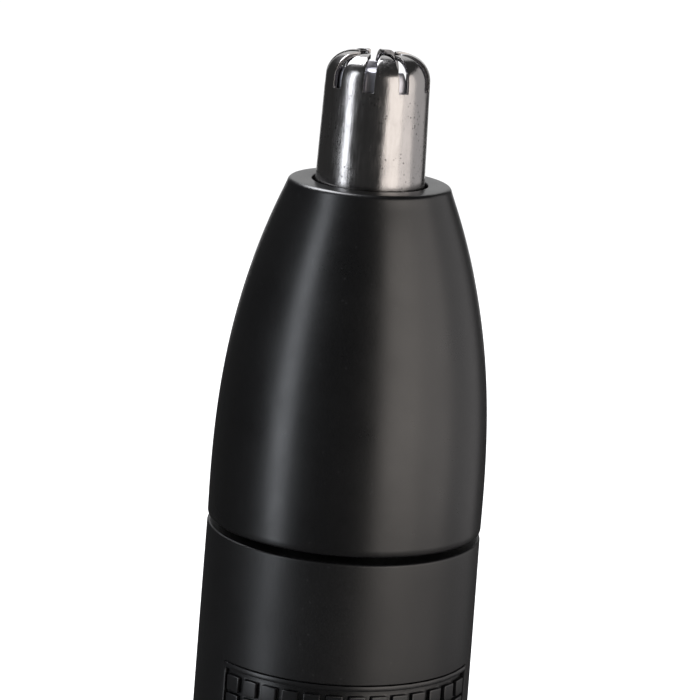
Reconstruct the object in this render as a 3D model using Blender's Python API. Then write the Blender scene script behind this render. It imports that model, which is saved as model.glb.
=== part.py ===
"""Battery nose hair trimmer, standing upright on its battery cap.

The origin is the centre of the flat base, +Z runs up the trimmer's axis and the
switch faces -Y. Sizes are in millimetres and every finished mesh is in metres.
Angles are in degrees round the axis, from the front (-Y) towards +X.
"""
import math

import bmesh
import bpy
from mathutils import Matrix

MM = 0.001
TURN_STEPS = 36  # facets round a turned piece, four to each blade slot's pitch

# clearances
REST_GAP = 0.3  # between pieces that rest on each other
RUN_GAP = 0.1  # between a shaft and its bore
BLADE_GAP = 0.12  # between the two blades
CUT_SPARE = 1.0  # how far a cutting tool runs past what it cuts
ROOT = 0.5  # how far a joined detail reaches into its piece

# bought-in parts that the case is built round
CELL_RADIUS = 7.25
CELL_LENGTH = 49.2
CELL_NUB_RADIUS = 2.75
CELL_NUB_HEIGHT = 1.3
CELL_CRIMP = 0.4
MOTOR_RADIUS = 8.6
MOTOR_FLAT = 7.6  # half distance between the can's flats
MOTOR_LENGTH = 21.8
MOTOR_CAP_HEIGHT = 2.6
MOTOR_SHAFT_RADIUS = 0.75
MOTOR_SHAFT_STUB = 2.9  # above the motor mount
MOTOR_SHAFT_SUNK = 6.0  # below the can's top
MOTOR_BOSS_RADIUS = 2.9
MOTOR_BOSS_HEIGHT = 1.2
MOTOR_CAP_CHAMFER = 0.4
TERMINAL_PLACE = 4.4  # from the axis, to each side
TERMINAL_WIDTH = 2.4
TERMINAL_THICKNESS = 0.3
TERMINAL_RISE = 1.0  # above the end cap's foot

# case
BODY_WALL = 1.95
BODY_BULGE = 0.25  # how much the barrel is fuller at its widest station
BULGE_HEIGHT = 58.0
BARREL_POWER = 2.2
CAP_HEIGHT = 12.0
CAP_FLOOR = 2.0
CAP_WALL = 1.45
CAP_CORNER = 1.2
SPIGOT_HEIGHT = 7.5
SOCKET_WALL = 1.2
CELL_ROOM = 0.75  # cell to the cap's cavity wall
SOCKET_ROOM = 2.0  # socket above the spigot
CAP_SEAL_RISE = 1.6  # joint up to the seal's groove
CAP_SEAL_GROOVE = 0.9
CAP_SEAL_DEPTH = 0.4
CAP_SEAL_WIRE = 0.3  # half thickness
CAP_SEAL_SQUEEZE = 0.05  # groove floor to the seal
EDGE_LIP = 0.25  # chamfer at the shell's ends

# bayonets of the cap and of the head
LUG_DEPTH = 0.6
LUG_HEIGHT = 1.5
LUG_ARC = 20.0
TWIST = 40.0
LUG_SPARE = 3.0  # extra arc at each end of a lug's channel
CAP_LUG_SETBACK = 1.0  # spigot's end to its lugs
NECK_LUG_SETBACK = 1.6

# grip panel and switch
PANEL_HALF_ARC = 61.5
PANEL_DROP = 10.9  # body rim down to the panel
PANEL_BOTTOM = 24.0
PANEL_DEPTH = 0.75
PANEL_PROUD = 0.1
SWITCH_HEIGHT = 53.0  # middle of the thumb button when off
SWITCH_TRAVEL = 4.0
BUTTON_WIDTH = 9.4
BUTTON_LENGTH = 13.0
BUTTON_PROUD = 1.5
STEM_WIDTH = 3.8
STEM_LENGTH = 6.0
BUTTON_CORNER = 2.2
BUTTON_FLOAT = 0.3  # above the plate
STEM_CORNER = 0.6
STEM_ROOT = 0.6  # into the button
STEM_SHORT = 0.3  # stem's end to the carrier's inner face
TRACK_MARGIN = 1.7
TRACK_CORNER = 3.0
PLATE_DROP = 0.45  # below the handle's surface
WINDOW_ROOM = 0.6
WINDOW_CORNER = 0.8
CARRIER_UP = 5.0
CARRIER_DOWN = 7.0
CARRIER_HALF_ARC = 28.0
CARRIER_RUN_GAP = 0.1
CARRIER_CELL_GAP = 0.95
CARRIER_HOLE_ROOM = 0.2
CARRIER_HOLE_CORNER = 0.7
LEAF_LENGTH = 6.0
LEAF_HALF_ARC = 12.0
TOOL_NEAR = 4.0  # where tools seen from the front begin
TOOL_REACH = 3.0  # how far they run past the barrel

# inner frame
FRAME_WALL = 1.1
FRAME_HALF_ARC = 98.0
CRADLE_GAP = 0.4  # cell to the frame
BULKHEAD = 1.6
BULKHEAD_OVERLAP = 0.5  # over the cradle
MOUNT_THICKNESS = 2.2
CONTACT_THICKNESS = 0.4
CONTACT_SPRING_HEIGHT = 5.8
CONTACT_SPRING_TURNS = 4.0
CONTACT_SPRING_INSET = 2.2  # cell's radius less the spring's foot
CONTACT_WIRE = 0.35
CONTACT_PLATE_INSET = 1.8
STRIP_PLACE = 1.2  # cell to the negative strip
STRIP_RISE = 1.0  # above the socket
STRIP_FIRST = 56.0
STRIP_LAST = 68.0
SCREW_CIRCLE = 5.7
SCREW_SHANK = 0.7
SCREW_DEPTH = 2.0  # into the motor can
SCREW_HEAD_RADIUS = 1.4
SCREW_HEAD_HEIGHT = 1.0
COUPLING_RADIUS = 2.8
COUPLING_RISE = 0.6  # above the motor mount

# neck, on which the head turns
NECK_DEPTH = 8.25  # motor mount up to the body's rim
NECK_WALL = 1.0
NECK_DECK = 1.6
NECK_DECK_SHARE = 0.6  # of the neck's depth, up to its deck
NECK_HEIGHT = 6.9
NECK_CHAMFER = 0.4
NECK_SEAL_RISE = 0.1
NECK_SEAL_GROOVE = 1.1
NECK_SEAL_DEPTH = 0.45
NECK_SEAL_WIRE = 0.45  # half thickness
NECK_SEAL_SQUEEZE = 0.08
BUSH_RADIUS = 3.0
SHAFT_SEAL_REACH = 1.0  # past the bush
SHAFT_SEAL_RIM = 0.9
SHAFT_SEAL_LIP = 0.4
SHAFT_SEAL_HEIGHT = 1.6
DRIVE_RADIUS = 1.5
DRIVE_SQUARE = 2.3
DRIVE_SQUARE_SHORT = 1.3  # below the holder's disc
COLLAR_REACH = 1.9  # past the shaft
COLLAR_HEIGHT = 1.2
HOLDER_LENGTH = 9.6
HOLDER_STEM = 2.3
HOLDER_DISC = 1.4
HOLDER_INSET = 0.6  # inside the outer blade
BLADE_SPRING_WIRE = 0.25
BLADE_SPRING_GAP = 0.2
BLADE_SPRING_TURNS = 5.0
INSERT_RISE = 0.7  # above the neck seal's groove
INSERT_HEIGHT = 5.0
SEAT_HEIGHT = 4.4

# cutting head
HEAD_GAP = 0.63  # open groove between the body and the head cover
COVER_HEIGHT = 30.76
COVER_WALL = 1.3
COVER_TOP_WALL = 1.4
COVER_TOP_RADIUS = 7.03
COVER_SWELL = 0.247
COVER_POWER = 2.507
COVER_CORNER = 0.5
COVER_LIP = 0.2
BLADE_HEIGHT = 11.36  # outer blade above the cover
BLADE_RADIUS = 4.805  # at the cover's top
BLADE_TAPER = 0.0252  # loss of radius for each millimetre of height
BLADE_WALL = 0.4
BLADE_SHOULDER = 2.3
BLADE_CROWN_HOLE = 1.8
BLADE_FLANGE = 1.05
BLADE_FLANGE_HEIGHT = 0.7
SLOT_COUNT = 9
SLOT_WIDTH = 0.95
SLOT_DEPTH = 2.95
SLOT_HUB = 0.05  # where neighbouring slots would meet, out to where they start
CUTTER_COUNT = 4
CUTTER_GAP = 2.4
CUTTER_WALL = 0.6
CUTTER_HEIGHT = 7.3
CUTTER_DROP = 1.25  # crown of the blade down to the cutter's walls
CUTTER_POST = 1.2  # radius of the cutter's middle post
CUTTER_FLOOR = 0.9
CUTTER_EDGE = 0.35
CUTTER_GAP_FLOOR = 0.4  # above the cutter's floor
POST_DROP = 0.2
POST_ROUND = 0.5
CROWN_LAND = 0.2  # flat ring between the blade's shoulder and its crown hole

# stations up the axis
CELL_BASE = CAP_FLOOR + CONTACT_SPRING_HEIGHT + 2 * REST_GAP
NUB_TOP = CELL_BASE + CELL_LENGTH + CELL_NUB_HEIGHT
CONTACT_BASE = NUB_TOP + REST_GAP
BULKHEAD_BASE = CONTACT_BASE + CONTACT_THICKNESS + REST_GAP
MOTOR_CAP_BASE = BULKHEAD_BASE + BULKHEAD + REST_GAP
MOTOR_BASE = MOTOR_CAP_BASE + MOTOR_CAP_HEIGHT + REST_GAP
MOTOR_TOP = MOTOR_BASE + MOTOR_LENGTH
MOUNT_BASE = MOTOR_TOP + REST_GAP
MOUNT_TOP = MOUNT_BASE + MOUNT_THICKNESS
BODY_TOP = MOUNT_TOP + NECK_DEPTH
BODY_BASE = CAP_HEIGHT + REST_GAP
NECK_TOP = BODY_TOP + NECK_HEIGHT
DECK_BASE = MOUNT_TOP + NECK_DECK_SHARE * NECK_DEPTH
DECK_TOP = DECK_BASE + NECK_DECK
COVER_BASE = BODY_TOP + HEAD_GAP
COVER_TOP = COVER_BASE + COVER_HEIGHT
TRIMMER_TOP = COVER_TOP + BLADE_HEIGHT
SLOT_BASE = TRIMMER_TOP - SLOT_DEPTH
FLANGE_TOP = COVER_TOP - COVER_TOP_WALL - REST_GAP
FLANGE_BASE = FLANGE_TOP - BLADE_FLANGE_HEIGHT
SEAT_TOP = FLANGE_BASE - REST_GAP
CUTTER_TOP = TRIMMER_TOP - CUTTER_DROP
CUTTER_BASE = CUTTER_TOP - CUTTER_HEIGHT
POST_TOP = CUTTER_TOP - POST_DROP
HOLDER_TOP = CUTTER_BASE - REST_GAP
HOLDER_BASE = HOLDER_TOP - HOLDER_LENGTH
COLLAR_TOP = HOLDER_BASE - REST_GAP
DRIVE_TOP = HOLDER_TOP - HOLDER_DISC - DRIVE_SQUARE_SHORT
PANEL_TOP = BODY_TOP - PANEL_DROP

# radii
FRAME_RADIUS = max(MOTOR_RADIUS, CELL_RADIUS) + REST_GAP + FRAME_WALL
BORE = FRAME_RADIUS + REST_GAP
BODY_RADIUS = BORE + BODY_WALL
CAP_CAVITY = CELL_RADIUS + CELL_ROOM
SPIGOT_RADIUS = CAP_CAVITY + CAP_WALL
SOCKET_BORE = SPIGOT_RADIUS + REST_GAP
JOINT_RADIUS = SOCKET_BORE + LUG_DEPTH + SOCKET_WALL
SOCKET_TOP = CAP_HEIGHT + SPIGOT_HEIGHT + SOCKET_ROOM
NECK_RADIUS = FRAME_RADIUS - NECK_WALL
CARRIER_OUTER = FRAME_RADIUS - CARRIER_RUN_GAP
CARRIER_INNER = CELL_RADIUS + CARRIER_CELL_GAP
CRADLE = CELL_RADIUS + CRADLE_GAP
BULKHEAD_RADIUS = CRADLE + BULKHEAD_OVERLAP
LEAF_RADIUS = max(MOTOR_RADIUS, BULKHEAD_RADIUS) + REST_GAP

COLOURS = {
    "matt_black": ((0.022, 0.022, 0.024, 1.0), 0.42, 0.0),
    "soft_grip": ((0.03, 0.03, 0.032, 1.0), 0.62, 0.0),
    "steel": ((0.62, 0.61, 0.6, 1.0), 0.22, 1.0),
    "zinc": ((0.55, 0.56, 0.58, 1.0), 0.35, 1.0),
    "brass": ((0.72, 0.52, 0.24, 1.0), 0.3, 1.0),
    "white_acetal": ((0.82, 0.82, 0.8, 1.0), 0.45, 0.0),
    "grey_plastic": ((0.25, 0.26, 0.28, 1.0), 0.5, 0.0),
    "seal_rubber": ((0.05, 0.05, 0.055, 1.0), 0.7, 0.0),
    "cell_label": ((0.12, 0.28, 0.36, 1.0), 0.35, 0.0),
}


def make_materials():
    made = {}
    for name, (colour, roughness, metallic) in COLOURS.items():
        material = bpy.data.materials.new(name)
        material.use_nodes = True
        shader = material.node_tree.nodes["Principled BSDF"]
        shader.inputs["Base Color"].default_value = colour
        shader.inputs["Roughness"].default_value = roughness
        shader.inputs["Metallic"].default_value = metallic
        made[name] = material
    return made


def place(name, bm, material=None):
    """Turn a bmesh in millimetres into an object in metres."""
    bmesh.ops.remove_doubles(bm, verts=bm.verts, dist=1e-4)
    bmesh.ops.recalc_face_normals(bm, faces=bm.faces)
    bmesh.ops.scale(bm, vec=(MM, MM, MM), verts=bm.verts)
    mesh = bpy.data.meshes.new(name)
    bm.to_mesh(mesh)
    bm.free()
    mesh.shade_smooth()
    mesh.set_sharp_from_angle(angle=math.radians(35.0))
    piece = bpy.data.objects.new(name, mesh)
    bpy.context.scene.collection.objects.link(piece)
    if material is not None:
        mesh.materials.append(MATERIALS[material])
    return piece


def outline_edges(bm, points, closed=True):
    verts = [bm.verts.new((r, 0.0, z)) for r, z in points]
    pairs = list(zip(verts, verts[1:]))
    if closed:
        pairs.append((verts[-1], verts[0]))
    return verts + [bm.edges.new(pair) for pair in pairs]


def turned(name, points, material=None, steps=TURN_STEPS):
    """A full turn of an outline of (radius, height); one that meets the axis stays open there."""
    bm = bmesh.new()
    on_axis = points[0][0] == 0.0 and points[-1][0] == 0.0
    geometry = outline_edges(bm, points, closed=not on_axis)
    bmesh.ops.spin(bm, geom=geometry, cent=(0, 0, 0), axis=(0, 0, 1),
                   angle=math.tau, steps=steps, use_merge=True)
    return place(name, bm, material)


def sector(name, points, first, last, material=None):
    """Part of a turn of a closed outline, with flat ends."""
    bm = bmesh.new()
    geometry = outline_edges(bm, points)
    bmesh.ops.rotate(bm, cent=(0, 0, 0), verts=bm.verts,
                     matrix=Matrix.Rotation(math.radians(first - 90.0), 3, "Z"))
    steps = max(2, round((last - first) * TURN_STEPS / 360.0))
    bmesh.ops.spin(bm, geom=geometry, cent=(0, 0, 0), axis=(0, 0, 1),
                   angle=math.radians(last - first), steps=steps)
    bmesh.ops.holes_fill(bm, edges=bm.edges, sides=0)
    return place(name, bm, material)


def block(name, low, high, material=None, angle=0.0):
    """A box between two corners, turned round the axis."""
    bm = bmesh.new()
    bmesh.ops.create_cube(bm, size=1.0)
    size = [h - l for l, h in zip(low, high)]
    middle = [(h + l) / 2.0 for l, h in zip(low, high)]
    bmesh.ops.scale(bm, vec=size, verts=bm.verts)
    bmesh.ops.translate(bm, vec=middle, verts=bm.verts)
    bmesh.ops.rotate(bm, cent=(0, 0, 0), verts=bm.verts,
                     matrix=Matrix.Rotation(math.radians(angle), 3, "Z"))
    return place(name, bm, material)


def corner_points(width, height, radius, steps=6):
    """A rounded rectangle round (0, 0), anticlockwise."""
    points = []
    corners = ((1, 1, 0), (-1, 1, 90), (-1, -1, 180), (1, -1, 270))
    for side_x, side_z, start in corners:
        for step in range(steps + 1):
            turn = math.radians(start + 90.0 * step / steps)
            points.append((side_x * (width / 2.0 - radius) + radius * math.cos(turn),
                           side_z * (height / 2.0 - radius) + radius * math.sin(turn)))
    return points


def front_prism(name, width, height, corner, middle_z, near, far, material=None):
    """A rounded rectangle seen from the front, from near to far out along -Y."""
    bm = bmesh.new()
    points = corner_points(width, height, corner)
    face = bm.faces.new([bm.verts.new((x, -near, z + middle_z)) for x, z in points])
    made = bmesh.ops.extrude_face_region(bm, geom=[face])["geom"]
    moved = [item for item in made if isinstance(item, bmesh.types.BMVert)]
    bmesh.ops.translate(bm, vec=(0, near - far, 0), verts=moved)
    return place(name, bm, material)


def tool(piece):
    piece.hide_render = True
    piece.display_type = "WIRE"
    return piece


def combine(target, cutter, operation):
    modifier = target.modifiers.new(operation.title(), "BOOLEAN")
    modifier.operation = operation
    modifier.solver = "EXACT"
    modifier.object = tool(cutter)
    return target


def cut(target, *cutters):
    for cutter in cutters:
        combine(target, cutter, "DIFFERENCE")
    return target


def join(target, *others):
    for other in others:
        combine(target, other, "UNION")
    return target


def ring_points(inner, outer, base, top):
    return [(inner, base), (outer, base), (outer, top), (inner, top)]


def arc_points(middle, radius, first, last, steps):
    """Points on an arc of the outline plane; 0 degrees points outwards, 90 up."""
    turns = [math.radians(first + (last - first) * step / steps) for step in range(steps + 1)]
    return [(middle[0] + radius * math.cos(t), middle[1] + radius * math.sin(t)) for t in turns]


def steps_between(low, high, count):
    return [low + (high - low) * step / count for step in range(count + 1)]


def body_radius(z):
    """Radius of the barrel-shaped handle at a height."""
    widest = BODY_RADIUS + BODY_BULGE
    if z >= BULGE_HEIGHT:
        rise = (z - BULGE_HEIGHT) / (BODY_TOP - BULGE_HEIGHT)
        return widest - BODY_BULGE * rise ** 2
    fall = (BULGE_HEIGHT - z) / (BULGE_HEIGHT - CAP_HEIGHT)
    return widest - (widest - JOINT_RADIUS) * fall ** BARREL_POWER


def body_band(inset_in, inset_out, base, top, count=6):
    """Closed outline of a layer that follows the handle's surface."""
    heights = steps_between(base, top, count)
    outer = [(body_radius(z) + inset_out, z) for z in heights]
    inner = [(body_radius(z) + inset_in, z) for z in reversed(heights)]
    return outer + inner


def cover_radius(z):
    """Radius of the head cover's side at a height."""
    share = (z - COVER_BASE) / COVER_HEIGHT
    drop = BODY_RADIUS + COVER_SWELL - COVER_TOP_RADIUS
    return BODY_RADIUS + COVER_SWELL * share - drop * share ** COVER_POWER


def blade_radius(z):
    """Radius of the outer blade's tapered side at a height."""
    return BLADE_RADIUS - BLADE_TAPER * (z - COVER_TOP)


def dome_points(side, base, top, shoulder, crown_hole):
    """Outline from the foot of a side wall over its shoulder to the hole in its crown."""
    middle = (side(top - shoulder) - shoulder, top - shoulder)
    return [(side(base), base)] + arc_points(middle, shoulder, 0, 90, 6) + [(crown_hole, top)]


def lug_ring(name, inner, outer, base, top, count=3, spare=0.0, travel=0.0):
    """Bayonet lugs, or with travel the channels that they turn in, as one tool."""
    for index in range(count):
        first = index * 360.0 / count - LUG_ARC / 2.0 - spare - travel
        last = index * 360.0 / count + LUG_ARC / 2.0 + spare
        points = ring_points(inner, outer, base, top)
        yield sector(f"{name}_{index}", points, first, last)


def make_cap():
    corner = arc_points((body_radius(CAP_CORNER) - CAP_CORNER, CAP_CORNER), CAP_CORNER, -90, 0, 4)
    side = [(body_radius(z), z) for z in steps_between(CAP_CORNER, CAP_HEIGHT, 3)[1:]]
    groove_base = CAP_HEIGHT + CAP_SEAL_RISE
    groove_top = groove_base + CAP_SEAL_GROOVE
    groove_floor = SPIGOT_RADIUS - CAP_SEAL_DEPTH
    spigot_top = CAP_HEIGHT + SPIGOT_HEIGHT
    points = [(0.0, 0.0)] + corner + side
    points += [(SPIGOT_RADIUS, CAP_HEIGHT), (SPIGOT_RADIUS, groove_base)]
    points += [(groove_floor, groove_base), (groove_floor, groove_top)]
    points += [(SPIGOT_RADIUS, groove_top), (SPIGOT_RADIUS, spigot_top)]
    points += [(CAP_CAVITY, spigot_top), (CAP_CAVITY, CAP_FLOOR), (0.0, CAP_FLOOR)]
    cap = turned("battery_cap", points, "matt_black")
    lug_base = spigot_top - CAP_LUG_SETBACK - LUG_HEIGHT
    lugs = lug_ring("cap_lug", SPIGOT_RADIUS - ROOT, SPIGOT_RADIUS + LUG_DEPTH,
                    lug_base, lug_base + LUG_HEIGHT)
    join(cap, *lugs)
    middle = (groove_floor + CAP_SEAL_WIRE + CAP_SEAL_SQUEEZE, (groove_base + groove_top) / 2.0)
    turned("cap_seal", arc_points(middle, CAP_SEAL_WIRE, 0, 300, 5), "seal_rubber")


def make_coil(name, bottom_radius, top_radius, wire, base, top, turns, material):
    """A coil spring round the axis; wire is its half thickness."""
    points_per_turn = 10
    count = round(turns * points_per_turn)
    curve = bpy.data.curves.new(name, "CURVE")
    curve.dimensions = "3D"
    curve.bevel_depth = wire * MM
    curve.bevel_resolution = 1
    curve.use_fill_caps = True
    spline = curve.splines.new("POLY")
    spline.points.add(count)
    for index in range(count + 1):
        share = index / count
        turn = math.tau * turns * share
        radius = bottom_radius + (top_radius - bottom_radius) * share
        height = base + wire + (top - base - 2 * wire) * share
        place_at = (radius * math.cos(turn) * MM, radius * math.sin(turn) * MM, height * MM, 1.0)
        spline.points[index].co = place_at
    coil = bpy.data.objects.new(name, curve)
    bpy.context.scene.collection.objects.link(coil)
    curve.materials.append(MATERIALS[material])
    return coil


def make_cell():
    top = CELL_BASE + CELL_LENGTH
    crimp = CELL_RADIUS - CELL_CRIMP
    points = [(0.0, CELL_BASE), (crimp, CELL_BASE), (CELL_RADIUS, CELL_BASE + CELL_CRIMP)]
    points += [(CELL_RADIUS, top - CELL_CRIMP), (crimp, top), (CELL_NUB_RADIUS, top)]
    points += [(CELL_NUB_RADIUS, NUB_TOP), (0.0, NUB_TOP)]
    turned("battery_cell", points, "cell_label")


def make_contacts():
    coil_base = CAP_FLOOR + REST_GAP
    make_coil("contact_spring", CELL_RADIUS - CONTACT_SPRING_INSET, CELL_NUB_RADIUS, CONTACT_WIRE,
              coil_base, coil_base + CONTACT_SPRING_HEIGHT, CONTACT_SPRING_TURNS, "zinc")
    plate_radius = CELL_RADIUS - CONTACT_PLATE_INSET
    plate = [(0.0, CONTACT_BASE), (plate_radius, CONTACT_BASE)]
    plate += [(plate_radius, CONTACT_BASE + CONTACT_THICKNESS)]
    plate += [(0.0, CONTACT_BASE + CONTACT_THICKNESS)]
    turned("positive_contact", plate, "zinc", steps=24)
    strip_inner = CELL_RADIUS + STRIP_PLACE
    strip = ring_points(strip_inner, strip_inner + CONTACT_THICKNESS,
                        SOCKET_TOP + STRIP_RISE, MOTOR_CAP_BASE)
    sector("negative_strip", strip, STRIP_FIRST, STRIP_LAST, "brass")


def make_frame():
    motor_bay = MOTOR_RADIUS + REST_GAP
    lower = SOCKET_TOP + REST_GAP
    back = (180.0 - FRAME_HALF_ARC, 180.0 + FRAME_HALF_ARC)
    points = [(CRADLE, lower), (FRAME_RADIUS, lower), (FRAME_RADIUS, MOTOR_TOP)]
    points += [(motor_bay, MOTOR_TOP), (motor_bay, MOTOR_CAP_BASE - REST_GAP)]
    points += [(CRADLE, MOTOR_CAP_BASE - REST_GAP)]
    frame = sector("chassis_frame", points, *back, "grey_plastic")
    disc_points = [(0.0, BULKHEAD_BASE), (BULKHEAD_RADIUS, BULKHEAD_BASE)]
    disc_points += [(BULKHEAD_RADIUS, BULKHEAD_BASE + BULKHEAD), (0.0, BULKHEAD_BASE + BULKHEAD)]
    join(frame, turned("bulkhead", disc_points))


def make_motor():
    boss_top = MOTOR_TOP + MOTOR_BOSS_HEIGHT
    bore = MOTOR_SHAFT_RADIUS + RUN_GAP
    shaft_base = MOTOR_TOP - MOTOR_SHAFT_SUNK
    points = [(0.0, MOTOR_BASE), (MOTOR_RADIUS, MOTOR_BASE), (MOTOR_RADIUS, MOTOR_TOP)]
    points += [(MOTOR_BOSS_RADIUS, MOTOR_TOP), (MOTOR_BOSS_RADIUS, boss_top), (bore, boss_top)]
    points += [(bore, shaft_base - REST_GAP), (0.0, shaft_base - REST_GAP)]
    can = turned("motor_can", points, "zinc")
    reach = MOTOR_RADIUS + CUT_SPARE
    flats = [block(f"can_flat_{side}", (-reach, MOTOR_FLAT, MOTOR_BASE - CUT_SPARE),
                   (reach, reach, boss_top + CUT_SPARE), angle=side * 180.0) for side in (0, 1)]
    cut(can, *flats)

    cap_points = [(0.0, MOTOR_CAP_BASE), (MOTOR_FLAT - MOTOR_CAP_CHAMFER, MOTOR_CAP_BASE)]
    cap_points += [(MOTOR_FLAT, MOTOR_CAP_BASE + MOTOR_CAP_CHAMFER), (MOTOR_FLAT, MOTOR_BASE - REST_GAP)]
    cap_points += [(0.0, MOTOR_BASE - REST_GAP)]
    end_cap = turned("motor_end_cap", cap_points, "white_acetal")
    for side, sign in (("left", -1), ("right", 1)):
        near = sign * TERMINAL_PLACE - TERMINAL_WIDTH / 2.0
        low = (near, -MOTOR_FLAT, MOTOR_CAP_BASE + TERMINAL_RISE)
        high = (near + TERMINAL_WIDTH, -MOTOR_FLAT / 2.0, low[2] + TERMINAL_THICKNESS)
        block(f"motor_terminal_{side}", low, high, "brass")
        slot_low = (low[0] - REST_GAP, low[1] - CUT_SPARE, low[2] - REST_GAP)
        slot_high = [edge + REST_GAP for edge in high]
        cut(end_cap, block(f"terminal_slot_{side}", slot_low, slot_high))

    shaft_top = MOUNT_TOP + MOTOR_SHAFT_STUB
    shaft = [(0.0, shaft_base), (MOTOR_SHAFT_RADIUS, shaft_base)]
    shaft += [(MOTOR_SHAFT_RADIUS, shaft_top), (0.0, shaft_top)]
    turned("motor_shaft", shaft, "steel", steps=24)

    coupling_base = MOUNT_TOP + COUPLING_RISE
    coupling_top = DECK_BASE - REST_GAP
    split = shaft_top + REST_GAP / 2.0
    coupling = [(bore, coupling_base), (COUPLING_RADIUS, coupling_base), (COUPLING_RADIUS, coupling_top)]
    coupling += [(DRIVE_RADIUS + RUN_GAP, coupling_top), (DRIVE_RADIUS + RUN_GAP, split)]
    coupling += [(bore, split)]
    turned("drive_coupling", coupling, "white_acetal", steps=24)
    return can


def make_mount(can):
    points = ring_points(MOTOR_BOSS_RADIUS + REST_GAP, FRAME_RADIUS, MOUNT_BASE, MOUNT_TOP)
    mount = turned("motor_mount", points, "grey_plastic")
    base = MOTOR_TOP - SCREW_DEPTH
    head_base = MOUNT_TOP + REST_GAP / 3.0
    head_top = head_base + SCREW_HEAD_HEIGHT
    hole_radius = SCREW_SHANK + RUN_GAP
    hole = [(0.0, base - REST_GAP), (hole_radius, base - REST_GAP)]
    hole += [(hole_radius, MOUNT_TOP + CUT_SPARE), (0.0, MOUNT_TOP + CUT_SPARE)]
    screw = [(0.0, base), (SCREW_SHANK, base), (SCREW_SHANK, head_base), (SCREW_HEAD_RADIUS, head_base)]
    screw += [(SCREW_HEAD_RADIUS, head_top), (0.0, head_top)]
    for side, sign in (("left", -1), ("right", 1)):
        aside = sign * SCREW_CIRCLE * MM
        for owner, piece in (("mount", mount), ("can", can)):
            hole_tool = turned(f"{owner}_hole_{side}", hole, steps=16)
            hole_tool.location.x = aside
            cut(piece, hole_tool)
        turned(f"motor_screw_{side}", screw, "zinc", steps=16).location.x = aside


def make_neck():
    seal_base = COVER_BASE + NECK_SEAL_RISE
    seal_top = seal_base + NECK_SEAL_GROOVE
    groove = NECK_RADIUS - NECK_SEAL_DEPTH
    inner = NECK_RADIUS - NECK_WALL
    bush_bore = BUSH_RADIUS + REST_GAP / 3.0
    skirt = MOUNT_TOP + REST_GAP
    points = [(bush_bore, DECK_BASE), (bush_bore, DECK_TOP), (inner, DECK_TOP), (inner, NECK_TOP)]
    points += [(NECK_RADIUS - NECK_CHAMFER, NECK_TOP), (NECK_RADIUS, NECK_TOP - NECK_CHAMFER)]
    points += [(NECK_RADIUS, seal_top)]
    points += [(groove, seal_top), (groove, seal_base), (NECK_RADIUS, seal_base)]
    points += [(NECK_RADIUS, BODY_TOP - REST_GAP), (FRAME_RADIUS, BODY_TOP - REST_GAP)]
    points += [(FRAME_RADIUS, skirt), (inner, skirt), (inner, DECK_BASE)]
    neck = turned("neck_ring", points, "matt_black")
    lug_base = NECK_TOP - NECK_LUG_SETBACK - LUG_HEIGHT
    join(neck, *lug_ring("neck_lug", NECK_RADIUS - ROOT, NECK_RADIUS + LUG_DEPTH,
                         lug_base, lug_base + LUG_HEIGHT))

    middle = (groove + NECK_SEAL_WIRE + NECK_SEAL_SQUEEZE, (seal_base + seal_top) / 2.0)
    turned("neck_seal", arc_points(middle, NECK_SEAL_WIRE, 0, 300, 5), "seal_rubber")

    shaft_bore = DRIVE_RADIUS + RUN_GAP
    bush = ring_points(shaft_bore, BUSH_RADIUS, DECK_BASE, DECK_TOP)
    turned("shaft_bush", bush, "brass", steps=24)
    seal_reach = BUSH_RADIUS + SHAFT_SEAL_REACH
    seal = [(shaft_bore, DECK_TOP + REST_GAP), (seal_reach, DECK_TOP + REST_GAP)]
    seal += [(seal_reach, DECK_TOP + SHAFT_SEAL_RIM)]
    seal += [(shaft_bore + SHAFT_SEAL_LIP, DECK_TOP + SHAFT_SEAL_HEIGHT)]
    seal += [(shaft_bore, DECK_TOP + SHAFT_SEAL_HEIGHT)]
    turned("shaft_seal", seal, "seal_rubber", steps=24)

    insert_inner = NECK_RADIUS + REST_GAP
    insert_outer = BODY_RADIUS - COVER_WALL - REST_GAP
    insert_base = seal_top + INSERT_RISE
    insert_top = insert_base + INSERT_HEIGHT
    insert = turned("cover_insert", ring_points(insert_inner, insert_outer, insert_base, insert_top),
                    "grey_plastic")
    cut(insert, *lug_ring("insert_channel", insert_inner - ROOT, NECK_RADIUS + LUG_DEPTH + REST_GAP,
                          insert_base - CUT_SPARE, insert_top + CUT_SPARE,
                          spare=LUG_SPARE, travel=TWIST))


def make_shell():
    heights = steps_between(BODY_BASE, BODY_TOP, 10)
    outer = [(body_radius(BODY_BASE) - EDGE_LIP, BODY_BASE)]
    heights = [BODY_BASE + EDGE_LIP] + heights[1:-1] + [BODY_TOP - EDGE_LIP]
    outer += [(body_radius(z), z) for z in heights]
    outer += [(body_radius(BODY_TOP) - EDGE_LIP, BODY_TOP)]
    inner = [(BORE, BODY_TOP), (BORE, SOCKET_TOP), (SOCKET_BORE, SOCKET_TOP), (SOCKET_BORE, BODY_BASE)]
    shell = turned("body_shell", outer + inner, "matt_black")

    lug_top = CAP_HEIGHT + SPIGOT_HEIGHT - CAP_LUG_SETBACK + REST_GAP
    channels = lug_ring("shell_channel", SOCKET_BORE - ROOT, SPIGOT_RADIUS + LUG_DEPTH + REST_GAP,
                        BODY_BASE - CUT_SPARE, lug_top, spare=LUG_SPARE, travel=TWIST)
    recess = sector("panel_recess", body_band(-PANEL_DEPTH, CUT_SPARE, PANEL_BOTTOM, PANEL_TOP),
                    -PANEL_HALF_ARC, PANEL_HALF_ARC)
    cut(shell, *channels, recess)
    return shell


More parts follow.
